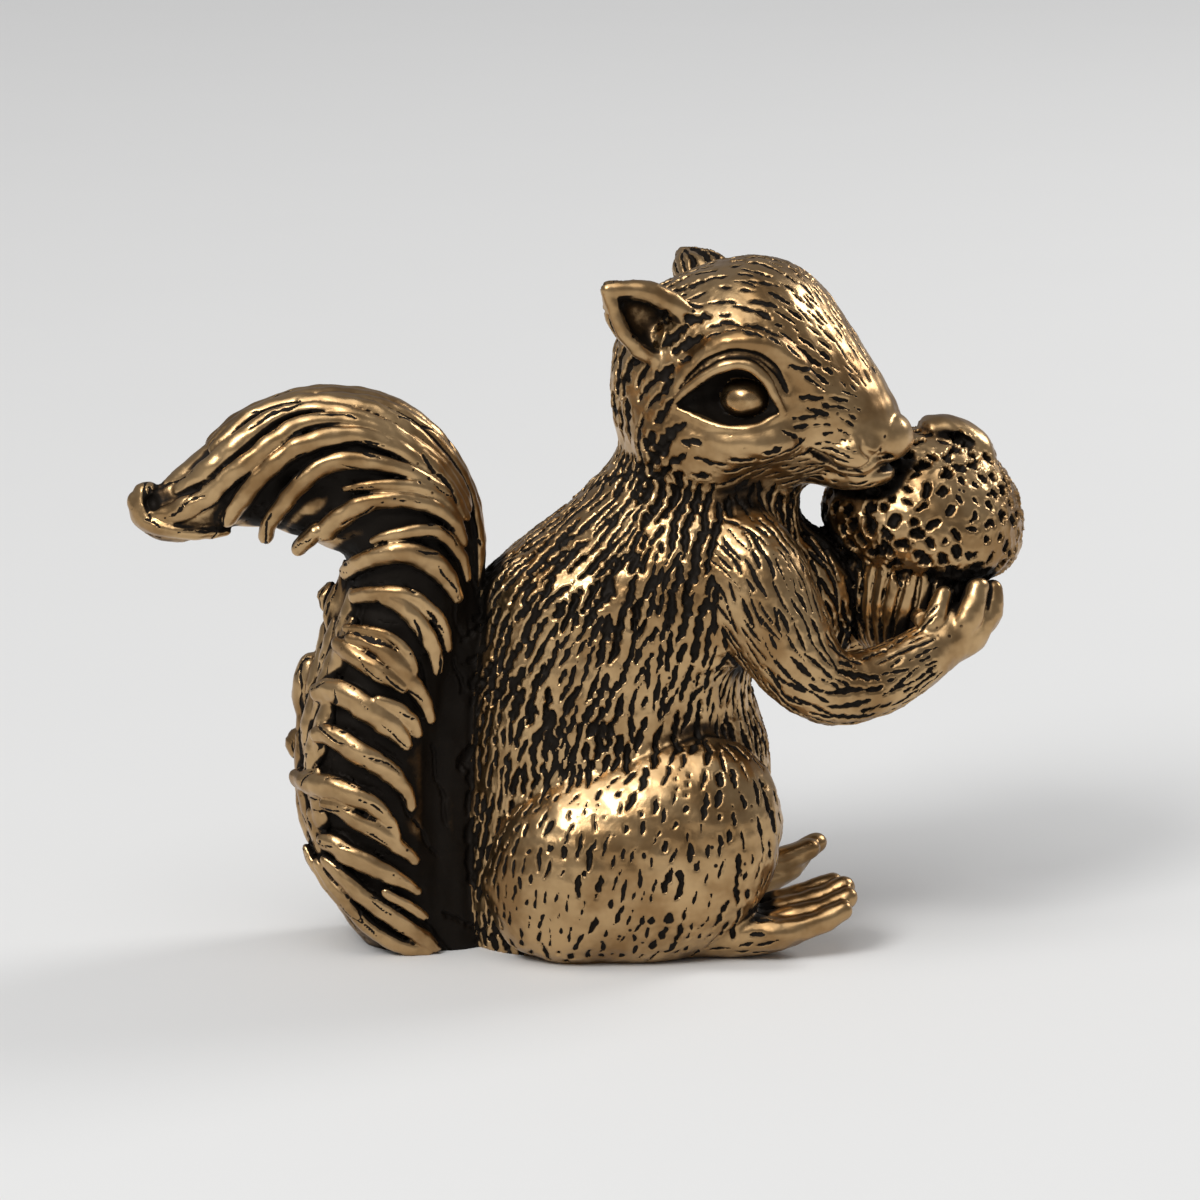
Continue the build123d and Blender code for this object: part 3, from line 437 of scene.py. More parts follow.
tail = dict(
    spine=[  # back to front place, height, half depth, half width
        (-8.22, -0.82, 2.5, 2.6),
        (-10.44, 3.23, 4.1, 4.4),
        (-11.54, 7.69, 4.7, 5.2),
        (-11.46, 12.56, 4.8, 5.4),
        (-10.54, 16.7, 4.6, 5.3),
        (-9.63, 20.76, 4.2, 5.0),
        (-9.84, 24.4, 4.15, 4.6),
        (-11.65, 27.26, 3.8, 4.1),
        (-14.48, 28.45, 3.0, 3.6),
        (-17.6, 27.66, 2.75, 3.1),
        (-20.24, 25.72, 2.3, 2.5),
        (-22.45, 24.4, 1.6, 1.8),
        (-24.07, 24.6, 1.0, 1.1),
        (-24.5, 25.3, 0.5, 0.5),
    ],
    coreShare=0.82,
    fills=[  # under the arch, and against the torso's back
        [(-11.6, 0, 24.6, 2.9), (-14.0, 0, 25.2, 2.45), (-16.6, 0, 25.75, 2.05), (-19.6, 0, 25.5, 1.6),
         (-22.0, 0, 24.9, 1.2)],
        [(-8.7, 0, 26.4, 1.9), (-7.9, 0, 25.4, 1.8), (-7.4, 0, 24.0, 1.75), (-7.1, 0, 22.0, 1.8)],
        [(-7.6, 0, 0.5, 2.6), (-8.0, 0, 6.0, 2.9), (-8.0, 0, 12.0, 2.9), (-7.2, 0, 17.5, 2.4),
         (-6.8, 0, 20.0, 1.6)],
    ],
    tips=[  # the hook, and the ridge above it
        [(-24.0, 0, 25.75, 0.75), (-23.9, 0, 25.0, 0.95), (-22.8, 0, 24.6, 1.05), (-21.0, 0, 24.9, 1.1)],
        [(-23.2, 0, 25.55, 0.55), (-22.3, 0, 26.1, 0.8), (-21.2, 0, 26.85, 0.95), (-20.0, 0, 27.8, 1.0)],
    ],
    scoop=((-23.75, 1.0, 25.5), (0.45, 0.6, 0.5)),
    thick=0.76,  # a lock's thickness as a share of its width
    leastHalf=0.24,
    archFrom=(20, 25),  # heights between which the body becomes the arch
    # how far a lock leans and is sunk, and what its half width is widened by on the body and on the arch
    leaf=dict(tilt=27, sunk=0.8, wider=(1.12, 1.0), edge=0.14),
    flap=dict(tilt=-30, sunk=1.2, wider=(1.3, 1.3), edge=0.1),
    backLeaf=dict(tilt=0, sunk=0.5, wider=(1.1, 1.1), edge=0.1),
    tiles=dict(rows=9, step=2.15, length=3.4, half=0.55, top=22, taper=(0.45, 0.9, 1, 0.8, 0.35),
               columns=((-1.8, 0.0, 1.8), (-2.6, -0.9, 0.9, 2.6))),
    crest=[  # locks along the top of the arch: across, half width, how far back
        (-0.45, 0.4, -19.0),
        (0.45, 0.4, -19.0),
        (-1.3, 0.36, -15.5),
        (1.3, 0.36, -15.5),
    ],
    crestFoot=20.5,
    crestShare=0.97,
    backLocks=[
        [(-14.17, 0.8, 20.34, 0.22), (-14.67, 0.8, 19.72, 0.33), (-14.56, 0.8, 18.98, 0.22)],
        [(-13.86, -0.3, 20.35, 0.17), (-14.25, -0.3, 19.55, 0.22), (-14.36, -0.3, 18.7, 0.22),
         (-14.19, -0.3, 17.79, 0.19), (-13.97, -0.3, 17.28, 0.14)],
        [(-14.58, 0.6, 16.69, 0.25), (-15.42, 0.6, 16.35, 0.44), (-15.93, 0.6, 15.55, 0.56),
         (-16.15, 0.6, 14.53, 0.56), (-16.15, 0.6, 13.57, 0.5), (-15.82, 0.6, 12.71, 0.28)],
        [(-15.59, 0.6, 12.43, 0.25), (-16.26, 0.6, 12.03, 0.42), (-16.54, 0.6, 11.29, 0.44),
         (-16.32, 0.6, 10.67, 0.28)],
        [(-15.4, 0.3, 7.95, 0.22), (-15.68, 0.3, 7.44, 0.33), (-15.68, 0.3, 6.75, 0.31),
         (-15.4, 0.3, 6.24, 0.19)],
        [(-15.3, -1.6, 7.56, 0.22), (-14.58, -1.6, 7.33, 0.28), (-13.79, -1.6, 7.16, 0.17)],
        [(-15.42, -1.2, 12.58, 0.17), (-15.42, -1.2, 11.85, 0.25), (-15.14, -1.2, 11.16, 0.17)],
        [(-15.12, -0.6, 5.92, 0.19), (-14.96, -0.6, 5.24, 0.25), (-14.68, -0.6, 4.67, 0.17)],
    ],
    farShift=(0.25, 0.0, -0.7),  # the locks of the far side are set a little lower
    locks=[  # place and half width from the free tip to the root, on the right side
        [(-20.55, -1.03, 28.5, 0.17), (-19.72, -1, 29.31, 0.28), (-18.59, -0.57, 30.21, 0.28),
         (-17.48, -0.51, 30.73, 0.25), (-16.39, -0.67, 31.07, 0.25), (-15.05, -1.03, 31.27, 0.25),
         (-13.44, -1.54, 31.21, 0.28), (-11.83, -1.85, 30.9, 0.33), (-10.49, -2.11, 30.31, 0.36),
         (-9.41, -2.31, 29.54, 0.36), (-8.32, -2.36, 28.52, 0.33), (-7.39, -2.26, 27.43, 0.31),
         (-6.66, -2.16, 26.27, 0.28), (-6.3, -2.13, 25.2, 0.2)],
        [(-22.4, -0.85, 26.4, 0.28), (-21.75, -1.2, 26.95, 0.4), (-21.15, -1.59, 27.4, 0.47),
         (-20.33, -1.76, 28.19, 0.5), (-19.51, -1.87, 28.91, 0.5), (-18.4, -1.84, 29.77, 0.47),
         (-17.29, -1.65, 30.43, 0.36), (-16.2, -1.67, 30.8, 0.25), (-15.11, -1.81, 30.96, 0.22),
         (-14.04, -2.09, 30.94, 0.25), (-12.97, -2.39, 30.74, 0.25), (-11.37, -2.75, 30.16, 0.25),
         (-10.02, -2.92, 29.39, 0.25), (-8.92, -2.89, 28.58, 0.25), (-7.81, -2.69, 27.57, 0.25),
         (-6.98, -2.56, 26.41, 0.22), (-6.37, -2.46, 25.1, 0.17)],
        [(-23.6, -1.1, 24.85, 0.3), (-22.92, -1.46, 25.1, 0.42), (-22.23, -1.86, 25.42, 0.5),
         (-21.05, -2.31, 26.03, 0.5), (-19.74, -2.61, 27.28, 0.44), (-18.71, -2.83, 28.07, 0.42),
         (-17.61, -2.88, 29, 0.42), (-16.56, -2.76, 29.78, 0.39), (-15.57, -2.67, 30.24, 0.33),
         (-14.1, -2.74, 30.44, 0.28), (-12.47, -2.89, 30.27, 0.28), (-10.91, -3.08, 29.66, 0.28),
         (-9.33, -3.14, 28.64, 0.28), (-8.02, -3.09, 27.32, 0.28), (-7.19, -3.02, 26.12, 0.25),
         (-6.52, -2.85, 24.73, 0.19)],
        [(-19.51, -2.05, 24.5, 0.5), (-19.1, -2.5, 25.34, 0.55), (-18.62, -2.8, 26.17, 0.53),
         (-18.24, -2.92, 26.8, 0.47), (-17.54, -3.14, 27.61, 0.47), (-16.77, -3.26, 28.33, 0.47),
         (-16.01, -3.32, 28.88, 0.47), (-15.25, -3.39, 29.21, 0.47), (-14.48, -3.4, 29.47, 0.44),
         (-13.56, -3.41, 29.61, 0.39), (-12.52, -3.43, 29.59, 0.33), (-11.54, -3.47, 29.36, 0.33),
         (-10.46, -3.49, 28.89, 0.33), (-9.42, -3.48, 28.2, 0.33), (-8.37, -3.36, 27.32, 0.31),
         (-7.54, -3.19, 26.44, 0.25), (-6.81, -3, 25.27, 0.19)],
        [(-17.42, -1.9, 23.5, 0.42), (-17.28, -2.3, 24.12, 0.5), (-16.82, -2.75, 24.99, 0.52),
         (-15.97, -3.15, 26.26, 0.52), (-15.25, -3.4, 27.1, 0.53), (-14.4, -3.56, 27.72, 0.56),
         (-13.44, -3.81, 28.08, 0.5), (-12.47, -3.93, 28.14, 0.42), (-11.49, -4.01, 28.02, 0.36),
         (-10.46, -3.99, 27.77, 0.31), (-9.41, -3.9, 27.34, 0.28), (-8.35, -3.69, 26.66, 0.28),
         (-7.45, -3.37, 25.91, 0.25), (-6.77, -3.13, 24.85, 0.19)],
        [(-13.38, -3.55, 26.48, 0.11), (-12.48, -3.97, 26.7, 0.17), (-11.52, -4.19, 26.83, 0.22),
         (-10.43, -4.25, 26.82, 0.25), (-9.32, -4.11, 26.66, 0.25), (-8.32, -3.86, 26.2, 0.25),
         (-7.64, -3.67, 25.59, 0.22), (-7.2, -3.56, 24.88, 0.19), (-6.86, -3.43, 24.13, 0.14)],
        [(-15.57, -1.9, 22.7, 0.42), (-15.17, -2.35, 23.18, 0.5), (-14.59, -2.85, 23.88, 0.53),
         (-13.93, -3.25, 24.56, 0.53), (-12.99, -3.65, 25.33, 0.53), (-12.22, -3.97, 25.7, 0.5),
         (-11.26, -4.28, 25.96, 0.42), (-10.28, -4.39, 26.01, 0.36), (-9.35, -4.34, 25.81, 0.36),
         (-8.46, -4.14, 25.53, 0.33), (-7.72, -3.89, 25.07, 0.31), (-7.15, -3.65, 24.4, 0.28),
         (-6.69, -3.41, 23.39, 0.19)],
        [(-11.95, -3.92, 23.68, 0.11), (-11.17, -4.36, 24.03, 0.22), (-10.32, -4.6, 24.17, 0.28),
         (-9.39, -4.62, 24.31, 0.31), (-8.44, -4.43, 24.25, 0.31), (-7.7, -4.16, 23.85, 0.31),
         (-7.13, -3.86, 23.16, 0.28), (-6.71, -3.54, 22.36, 0.22), (-6.47, -3.29, 21.35, 0.14)],
        [(-13.49, -1.73, 21.6, 0.33), (-12.97, -2.8, 22.2, 0.42), (-12.22, -3.71, 22.64, 0.44),
         (-11.39, -4.31, 22.97, 0.5), (-10.49, -4.66, 23.13, 0.56), (-9.52, -4.8, 22.96, 0.58),
         (-8.64, -4.71, 22.59, 0.58), (-7.97, -4.52, 21.98, 0.5), (-7.45, -4.25, 21.29, 0.39),
         (-7.1, -3.98, 20.39, 0.22)],
        [(-13.01, -3.21, 20.55, 0.25), (-12.31, -3.94, 20.74, 0.31), (-11.48, -4.51, 20.89, 0.33),
         (-10.63, -4.84, 20.94, 0.33), (-9.88, -5, 20.79, 0.31), (-9.23, -5.01, 20.38, 0.28),
         (-8.62, -4.89, 19.84, 0.28), (-8.1, -4.67, 19.22, 0.25), (-7.81, -4.45, 18.44, 0.19),
         (-7.69, -4.28, 17.61, 0.14)],
        [(-11.33, -4.64, 20.58, 0.25), (-10.64, -4.93, 20.35, 0.36), (-10.06, -5.06, 19.97, 0.39),
         (-9.52, -5.1, 19.4, 0.39), (-9.02, -5.03, 18.76, 0.36), (-8.63, -4.88, 18.05, 0.33),
         (-8.34, -4.69, 17.27, 0.28), (-8.28, -4.59, 16.41, 0.17)],
        [(-13.44, -3.52, 18.83, 0.14), (-12.57, -4.31, 18.87, 0.14), (-11.63, -4.86, 18.79, 0.17),
         (-10.84, -5.14, 18.44, 0.17), (-10.25, -5.23, 17.89, 0.19), (-9.87, -5.23, 17.26, 0.19),
         (-9.65, -5.2, 16.58, 0.14)],
        [(-13.21, -3.97, 18.31, 0.31), (-12.54, -4.51, 18.24, 0.33), (-11.81, -4.94, 17.98, 0.39),
         (-11.13, -5.19, 17.51, 0.42), (-10.48, -5.29, 16.84, 0.42), (-9.88, -5.24, 16.09, 0.39),
         (-9.32, -5.05, 15.36, 0.33), (-8.91, -4.8, 14.56, 0.25), (-8.67, -4.56, 13.71, 0.17)],
        [(-13.97, -3.25, 17.89, 0.31), (-13.53, -3.86, 17.68, 0.44), (-12.93, -4.46, 17.34, 0.47),
         (-12.26, -4.92, 16.92, 0.44), (-11.57, -5.2, 16.52, 0.39), (-10.93, -5.32, 16.14, 0.28),
         (-10.38, -5.32, 15.73, 0.17)],
        [(-15.17, -2.73, 15.11, 0.39), (-14.72, -3.34, 15.35, 0.53), (-14.01, -4.11, 15.39, 0.61),
         (-13.29, -4.71, 15.11, 0.64), (-12.57, -5.13, 14.68, 0.64), (-11.82, -5.34, 14.2, 0.61),
         (-11.12, -5.39, 13.69, 0.56), (-10.51, -5.31, 13.15, 0.42), (-10.06, -5.17, 12.54, 0.25)],
        [(-11.7, -5.3, 15.09, 0.17), (-11, -5.38, 14.75, 0.31), (-10.34, -5.31, 14.32, 0.33),
         (-9.77, -5.13, 13.76, 0.28), (-9.43, -4.93, 13.03, 0.17)],
        [(-15.19, -3.39, 12.84, 0.33), (-14.63, -4.02, 12.97, 0.47), (-13.96, -4.6, 12.69, 0.56),
         (-13.23, -5.03, 12.32, 0.56), (-12.49, -5.28, 11.91, 0.56), (-11.73, -5.38, 11.46, 0.53),
         (-11.08, -5.34, 10.98, 0.47), (-10.46, -5.2, 10.36, 0.36), (-10.01, -5.02, 9.69, 0.25),
         (-9.78, -4.89, 8.86, 0.17)],
        [(-16.27, -1.32, 9.89, 0.44), (-15.77, -2.69, 9.92, 0.58), (-15.02, -3.77, 9.93, 0.67),
         (-14.25, -4.47, 9.91, 0.67), (-13.47, -4.93, 9.77, 0.58), (-12.72, -5.19, 9.47, 0.5),
         (-12.02, -5.28, 9.08, 0.42), (-11.42, -5.28, 8.6, 0.33), (-10.97, -5.2, 8.01, 0.22),
         (-10.69, -5.09, 7.29, 0.17)],
        [(-14.82, -3.93, 9, 0.19), (-14.1, -4.53, 8.95, 0.28), (-13.47, -4.87, 8.57, 0.33),
         (-12.78, -5.08, 8.09, 0.36), (-12.08, -5.2, 7.81, 0.39), (-11.36, -5.18, 7.33, 0.39),
         (-10.69, -5.05, 6.83, 0.33), (-10.13, -4.87, 6.37, 0.25), (-9.61, -4.64, 5.84, 0.17)],
        [(-14.82, -3.58, 6.76, 0.39), (-14.25, -4.08, 6.64, 0.53), (-13.57, -4.47, 6.2, 0.56),
         (-12.82, -4.75, 5.91, 0.53), (-12.06, -4.89, 5.58, 0.5), (-11.35, -4.92, 5.23, 0.44),
         (-10.68, -4.83, 4.84, 0.36), (-10.06, -4.67, 4.5, 0.22), (-9.49, -4.45, 4.02, 0.14)],
        [(-14.65, -3.37, 5.51, 0.25), (-14.13, -3.74, 5.07, 0.36), (-13.55, -4.01, 4.5, 0.44),
         (-12.9, -4.19, 3.9, 0.42), (-12.2, -4.31, 3.34, 0.42), (-11.43, -4.37, 2.87, 0.42),
         (-10.65, -4.28, 2.31, 0.4), (-9.86, -4.06, 1.71, 0.36), (-9.11, -3.73, 1.08, 0.33),
         (-8.4, -3.31, 0.43, 0.19)],
        [(-11.29, -4.7, 4.03, 0.14), (-10.62, -4.61, 3.59, 0.17), (-9.88, -4.42, 3.12, 0.17),
         (-9.08, -4.07, 2.49, 0.11)],
        [(-15.03, -2.64, 5.1, 0.28), (-14.57, -2.95, 4.37, 0.33), (-13.99, -3.28, 3.69, 0.39),
         (-13.35, -3.5, 2.83, 0.36), (-12.64, -3.6, 2.0, 0.38), (-11.82, -3.67, 1.3, 0.4),
         (-10.94, -3.67, 0.8, 0.4), (-9.99, -3.59, 0.45, 0.36), (-9.02, -3.38, 0.18, 0.28)],
        [(-15.67, -1.64, 5.78, 0.19), (-15.37, -1.97, 5.11, 0.25), (-14.91, -2.4, 4.35, 0.25),
         (-14.4, -2.81, 3.7, 0.22), (-13.87, -3.12, 3.13, 0.17)],
        [(-24.6, -0.3, 25.6, 0.31), (-24.5, -0.7, 24.9, 0.34), (-24.0, -1.1, 24.45, 0.36),
         (-23.3, -1.45, 24.15, 0.34), (-22.46, -1.65, 23.92, 0.31), (-21.48, -1.65, 23.75, 0.31),
         (-20.47, -1.33, 23.62, 0.31), (-19.7, -0.9, 23.6, 0.26)],
    ],
)
spineLine = smoothLine(tail["spine"], 8)
tailTips = [smoothLine(rows, 4) for rows in tail["tips"]]


def leaf(rows, side, style):  # rows of place, half width, across, outward and along for one lock
    rows = smoothLine(rows, 3)
    gap = spineLine[None, :, :2] - rows[:, None, ::2]
    middle = spineLine[np.argmin((gap ** 2).sum(2), 1)]
    along = unit(np.gradient(rows[:, :3], axis=0))
    out = np.stack([(rows[:, 0] - middle[:, 0]) / middle[:, 2] ** 2, rows[:, 1] / middle[:, 3] ** 2,
                    (rows[:, 2] - middle[:, 1]) / middle[:, 2] ** 2], 1)
    out = unit(out - (out * along).sum(1, keepdims=True) * along)
    upper = side * np.cross(out, along)
    wider = np.interp(rows[:, 2:3], tail["archFrom"], style["wider"])
    half = np.maximum(rows[:, 3:] * wider + style["edge"], tail["leastHalf"])
    place = rows[:, :3] - out * half * tail["thick"] * style["sunk"] - upper * (half - rows[:, 3:]) * 0.8
    c = math.cos(math.radians(style["tilt"]))
    s = math.sin(math.radians(style["tilt"]))
    return np.hstack([place, half, c * upper + s * out, c * out - s * upper, along]).astype(np.float32)


def downTheBack():  # locks that lie like tiles on the back of the tail, their tips up and out
    tiles = tail["tiles"]
    low = spineLine[spineLine[:, 1] < tiles["top"] + 1]
    made = []
    for row in range(tiles["rows"]):
        for column in tiles["columns"][row % 2]:
            t = np.linspace(0, 1, 5)
            start = 0.5 + tiles["step"] * (row + seed.uniform(-0.15, 0.15))
            z = start + tiles["length"] * t * seed.uniform(0.8, 1.1)
            y = column * (1 + 0.22 * t) + seed.uniform(-0.2, 0.2)
            x, depth, width = (np.interp(z, low[:, 1], low[:, i]) for i in (0, 2, 3))
            bow = np.sqrt(np.clip(1 - (y / width) ** 2, 0.05, 1))
            half = tiles["half"] * np.array(tiles["taper"])
            if z[-1] < tiles["top"]:
                made.append(np.stack([x - depth * bow * (0.84 + 0.06 * t), y, z, half], 1))
    return made


def overTheArch():  # locks along the top of the arch and down its front, in the middle
    run = unit(np.gradient(spineLine[:, :2], axis=0))
    made = []
    for across, half, farthest in tail["crest"]:
        keep = (spineLine[:, 1] > tail["crestFoot"]) & (spineLine[:, 0] > farthest)
        x, z, depth, width = spineLine[keep].T
        bow = depth * tail["crestShare"] * np.sqrt(1 - (across / width) ** 2)
        count = np.arange(len(x))
        taper = np.minimum(1, 0.4 + 0.25 * np.minimum(count, count[::-1]))
        rows = [x + run[keep, 1] * bow, np.full(len(x), across), z - run[keep, 0] * bow, half * taper]
        made.append(np.stack(rows, 1)[::2])
    return made


def makeLocks():
    locks = [leaf(rows, 1, tail["flap"]) for rows in tail["backLocks"]]
    locks += [leaf(rows, 1, tail["backLeaf"]) for rows in downTheBack() + overTheArch()]
    for rows in tail["locks"]:
        locks.append(leaf(rows, 1, tail["leaf"]))
        low = np.clip((22 - np.array(rows)[:, 2:3]) / 4, 0, 1)  # the arch of the tail stays even
        far = np.array(rows) * [1, -1, 1, 1]
        far[:, :3] += low * (np.array(tail["farShift"]) + seed.uniform(-0.25, 0.25, 3))
        hangs = 21 < rows[0][2] < 25 and rows[0][0] < -13  # a tip that would show under the arch
        locks.append(leaf(far[2 * hangs:], -1, tail["leaf"]))
    return locks


locks = makeLocks()
coreLine = [(x, z, d * tail["coreShare"], w * tail["coreShare"]) for x, z, d, w in spineLine]


def tailCore(p):
    line = np.asarray(coreLine, np.float32)
    best = np.full(len(p), 1e3, np.float32)
    for a, b in zip(line[:-1], line[1:]):
        ab = b[:2] - a[:2]
        t = np.clip(((p[:, ::2] - a[:2]) @ ab) / float(ab @ ab), 0, 1)
        c = a + t[:, None] * (b - a)
        d = np.hypot(p[:, 0] - c[:, 0], p[:, 2] - c[:, 1])
        k = np.hypot(d / c[:, 2], p[:, 1] / c[:, 3])
        best = np.minimum(best, (k - 1) * np.minimum(c[:, 2], c[:, 3]))
    return best


def lockSection(p, rows):  # the leaf-shaped bar through one lock's rows
    c = rows[:, :3]
    i = np.argmin((c * c).sum(1) - 2 * p @ c.T, 1)
    ahead = ((p - c[i]) * rows[i, 10:]).sum(1)
    j = np.clip(i + np.sign(ahead).astype(int), 0, len(rows) - 1)
    reach = np.maximum(np.linalg.norm(c[j] - c[i], axis=1), 1e-3)
    at = rows[i] + np.clip(np.abs(ahead) / reach, 0, 1)[:, None] * (rows[j] - rows[i])
    d = p - at[:, :3]
    half = at[:, 3]
    thick = half * np.float32(tail["thick"])
    u = (d * at[:, 4:7]).sum(1) / half
    v = (d * at[:, 7:10]).sum(1) / thick
    w = np.where(i == j, ahead, 0) / half  # round the two ends
    k = np.sqrt(u * u + v * v + w * w)
    g = np.sqrt((u * u + w * w) / (half * half) + v * v / (thick * thick))
    return k * (k - 1) / np.maximum(g, 1e-6)


def lockField(p, f=None):
    f = np.full(len(p), 3.0, np.float32) if f is None else f
    for rows in locks:
        box = (p > rows[:, :3].min(0) - 1.5) & (p < rows[:, :3].max(0) + 1.5)
        near = np.flatnonzero(np.all(box, axis=1))
        if len(near):
            f[near] = weld(f[near], lockSection(p[near], rows), 0.08)
    return f


def tailField(p):
    f = tailCore(p)
    for rows in tail["fills"]:
        f = weld(f, strand(p, rows), 0.6)
    for rows in tailTips:
        f = weld(f, strand(p, rows), 0.3)
    f = lockField(p, f)
    return carve(f, bulge(fold(p), *tail["scoop"]), 0.15)


# The castings in the order they are welded, with the fillet of each seam and a box round each

castings = [
    ("torso", torsoField, 0.1, ((-9, -9, -1.5), (15, 9, 30))),
    ("head", headField, 1.5, ((-2, -13, 23), (21, 10, 40))),
    ("right_haunch", lambda p: haunchField(p, -1), 0.35, ((-8, -11, -1.5), (13, 1, 15))),
    ("left_haunch", lambda p: haunchField(p, 1), 0.35, ((-8, -1, -1.5), (13, 11, 15))),
    ("right_foot", lambda p: footField(p, -1), 0.3, ((3, -10, -1.5), (18, -1, 7))),
    ("left_foot", lambda p: footField(p, 1), 0.3, ((3, 1, -1.5), (18, 10, 7))),
    ("right_arm", lambda p: armField(p, -1), 1.1, ((2, -12, 10), (26, 0, 28))),
    ("left_arm", lambda p: armField(p, 1), 1.1, ((2, 0, 10), (26, 12, 28))),
    ("tail", tailField, 0.25, ((-28, -9, -1.5), (-1, 9, 36))),
    ("right_ear", lambda p: earField(p, -1), 0.4, ((-4, -12, 29), (12, 2, 42))),
    ("left_ear", lambda p: earField(p, 1), 0.4, ((-2, -2, 29), (15, 13, 42))),
    ("acorn_nut", nutField, 0.08, ((12, -7, 12), (27, 7, 30))),
    ("acorn_cup", cupField, 0.12, ((11, -8, 17), (28, 8, 33))),
    ("acorn_stalk", stalkField, 0.25, ((15, -4, 24), (27, 4, 34))),
    ("right_eye", lambda p: eyeField(p, -1), 0.05, ((4, -11, 27), (17, 2, 37))),
    ("left_eye", lambda p: eyeField(p, 1), 0.05, ((4, -4, 27), (17, 9, 37))),
]
names = [c[0] for c in castings]
workers = ThreadPoolExecutor(4)


def inPieces(work, p, size=16000):
    return np.concatenate(list(workers.map(work, [p[i:i + size] for i in range(0, len(p), size)])))


def figurePiece(p):  # the welded figure, cut flat where it stands, and each point's nearest casting
    f = np.full(len(p), 9.0, np.float32)
    least = np.full(len(p), 9.0, np.float32)
    nearest = np.zeros(len(p), np.float32)
    for i, (_, field, soft, (low, high)) in enumerate(castings):
        inside = np.flatnonzero(np.all((p > np.float32(low)) & (p < np.float32(high)), axis=1))
        if not len(inside):
            continue
        own = field(p[inside])
        closer = inside[own < least[inside]]
        nearest[closer] = i
        least[inside] = np.minimum(least[inside], own)
        f[inside] = weld(f[inside], own, soft)
    return np.stack([np.maximum(f, -p[:, 2]), nearest], 1)


def figureField(p):
    return inPieces(figurePiece, p)[:, 0]


# Clay to mesh

clay = dict(voxel=0.25, low=(-27.5, -10.6, -0.7), high=(26.2, 10.6, 40.6))


def fillGrid():
    low = np.array(clay["low"])
    axes = [np.arange(a, b, clay["voxel"], dtype=np.float32) for a, b in zip(low, clay["high"])]
    grid = np.full([len(a) for a in axes], 9.0, np.float32)
    for _, field, soft, (boxLow, boxHigh) in castings:
        span = [slice(*np.searchsorted(a, (l, h))) for a, l, h in zip(axes, boxLow, boxHigh)]
        block = np.stack(np.meshgrid(*[a[s] for a, s in zip(axes, span)], indexing="ij"), -1)
        own = inPieces(field, block.reshape(-1, 3)).reshape(block.shape[:3])
        grid[tuple(span)] = weld(grid[tuple(span)], own, soft)
    return np.maximum(grid, -axes[2][None, None, :]), low


def surfaceNet(grid, low):  # one vertex in each cell that the surface crosses, joined by quads
    corners = [(i, j, k) for i in (0, 1) for j in (0, 1) for k in (0, 1)]
    size = np.array(grid.shape) - 1
    inside = grid < 0
    count = sum(inside[i:size[0] + i, j:size[1] + j, k:size[2] + k].astype(np.int8) for i, j, k in corners)
    cells = np.argwhere((count > 0) & (count < 8))
    values = np.stack([grid[cells[:, 0] + i, cells[:, 1] + j, cells[:, 2] + k] for i, j, k in corners], 1)
    total = np.zeros((len(cells), 3))
    hits = np.zeros(len(cells))
    for a in range(8):
        for b in range(a + 1, 8):
            ca = np.array(corners[a])
            cb = np.array(corners[b])
            if np.abs(ca - cb).sum() != 1:
                continue
            crossed = (values[:, a] < 0) != (values[:, b] < 0)
            t = values[crossed, a] / (values[crossed, a] - values[crossed, b])
            total[crossed] += ca + t[:, None] * (cb - ca)
            hits[crossed] += 1
    points = (cells + total / hits[:, None]) * clay["voxel"] + low
    number = np.full(size, -1, np.int32)
    number[tuple(cells.T)] = np.arange(len(cells))
    quads = []
    for axis in range(3):
        u, v = [a for a in range(3) if a != axis]
        step = [slice(None)] * 3
        step[axis] = slice(0, -1)
        ahead = [slice(None)] * 3
        ahead[axis] = slice(1, None)
        flips = np.argwhere(inside[tuple(step)] != inside[tuple(ahead)])
        pair = flips[:, [u, v]]
        flips = flips[((pair > 0) & (pair < size[[u, v]])).all(1)]
        ring = []
        for du, dv in ((1, 1), (0, 1), (0, 0), (1, 0)):
            c = flips.copy()
            c[:, u] -= du
            c[:, v] -= dv
            ring.append(number[tuple(c.T)])
        quad = np.stack(ring, 1)
        outward = inside[tuple(flips.T)]
        if axis == 1:
            outward = ~outward
        quad[~outward] = quad[~outward][:, ::-1]
        quads.append(quad)
    return points.astype(np.float32), np.vstack(quads)


def splitQuads(points, quads):  # each quad into four
    edges = np.sort(np.stack([quads, np.roll(quads, -1, 1)], 2).reshape(-1, 2), 1)
    kinds, back = np.unique(edges, axis=0, return_inverse=True)
    mids = points[kinds].mean(1)
    centres = points[quads].mean(1)
    e = len(points) + back.reshape(-1, 4)
    c = len(points) + len(mids) + np.arange(len(quads))
    parts = [np.stack([quads[:, i], e[:, i], c, e[:, i - 1]], 1) for i in range(4)]
    return np.vstack([points, mids, centres]).astype(np.float32), np.vstack(parts)


def addUp(index, values, count):
    return np.stack([np.bincount(index, values[:, i], count) for i in range(values.shape[1])], 1)


def vertexNormals(p, q):
    face = np.cross(p[q[:, 2]] - p[q[:, 0]], p[q[:, 3]] - p[q[:, 1]])
    return unit(sum(addUp(q[:, i], face, len(p)) for i in range(4))).astype(np.float32)


def evenOut(p, q):  # let the quads take about the same size
    middle = p[q].mean(1)
    total = sum(addUp(q[:, i], middle, len(p)) for i in range(4))
    count = np.bincount(q.ravel(), minlength=len(p))[:, None]
    return (0.5 * p + 0.5 * total / count).astype(np.float32)


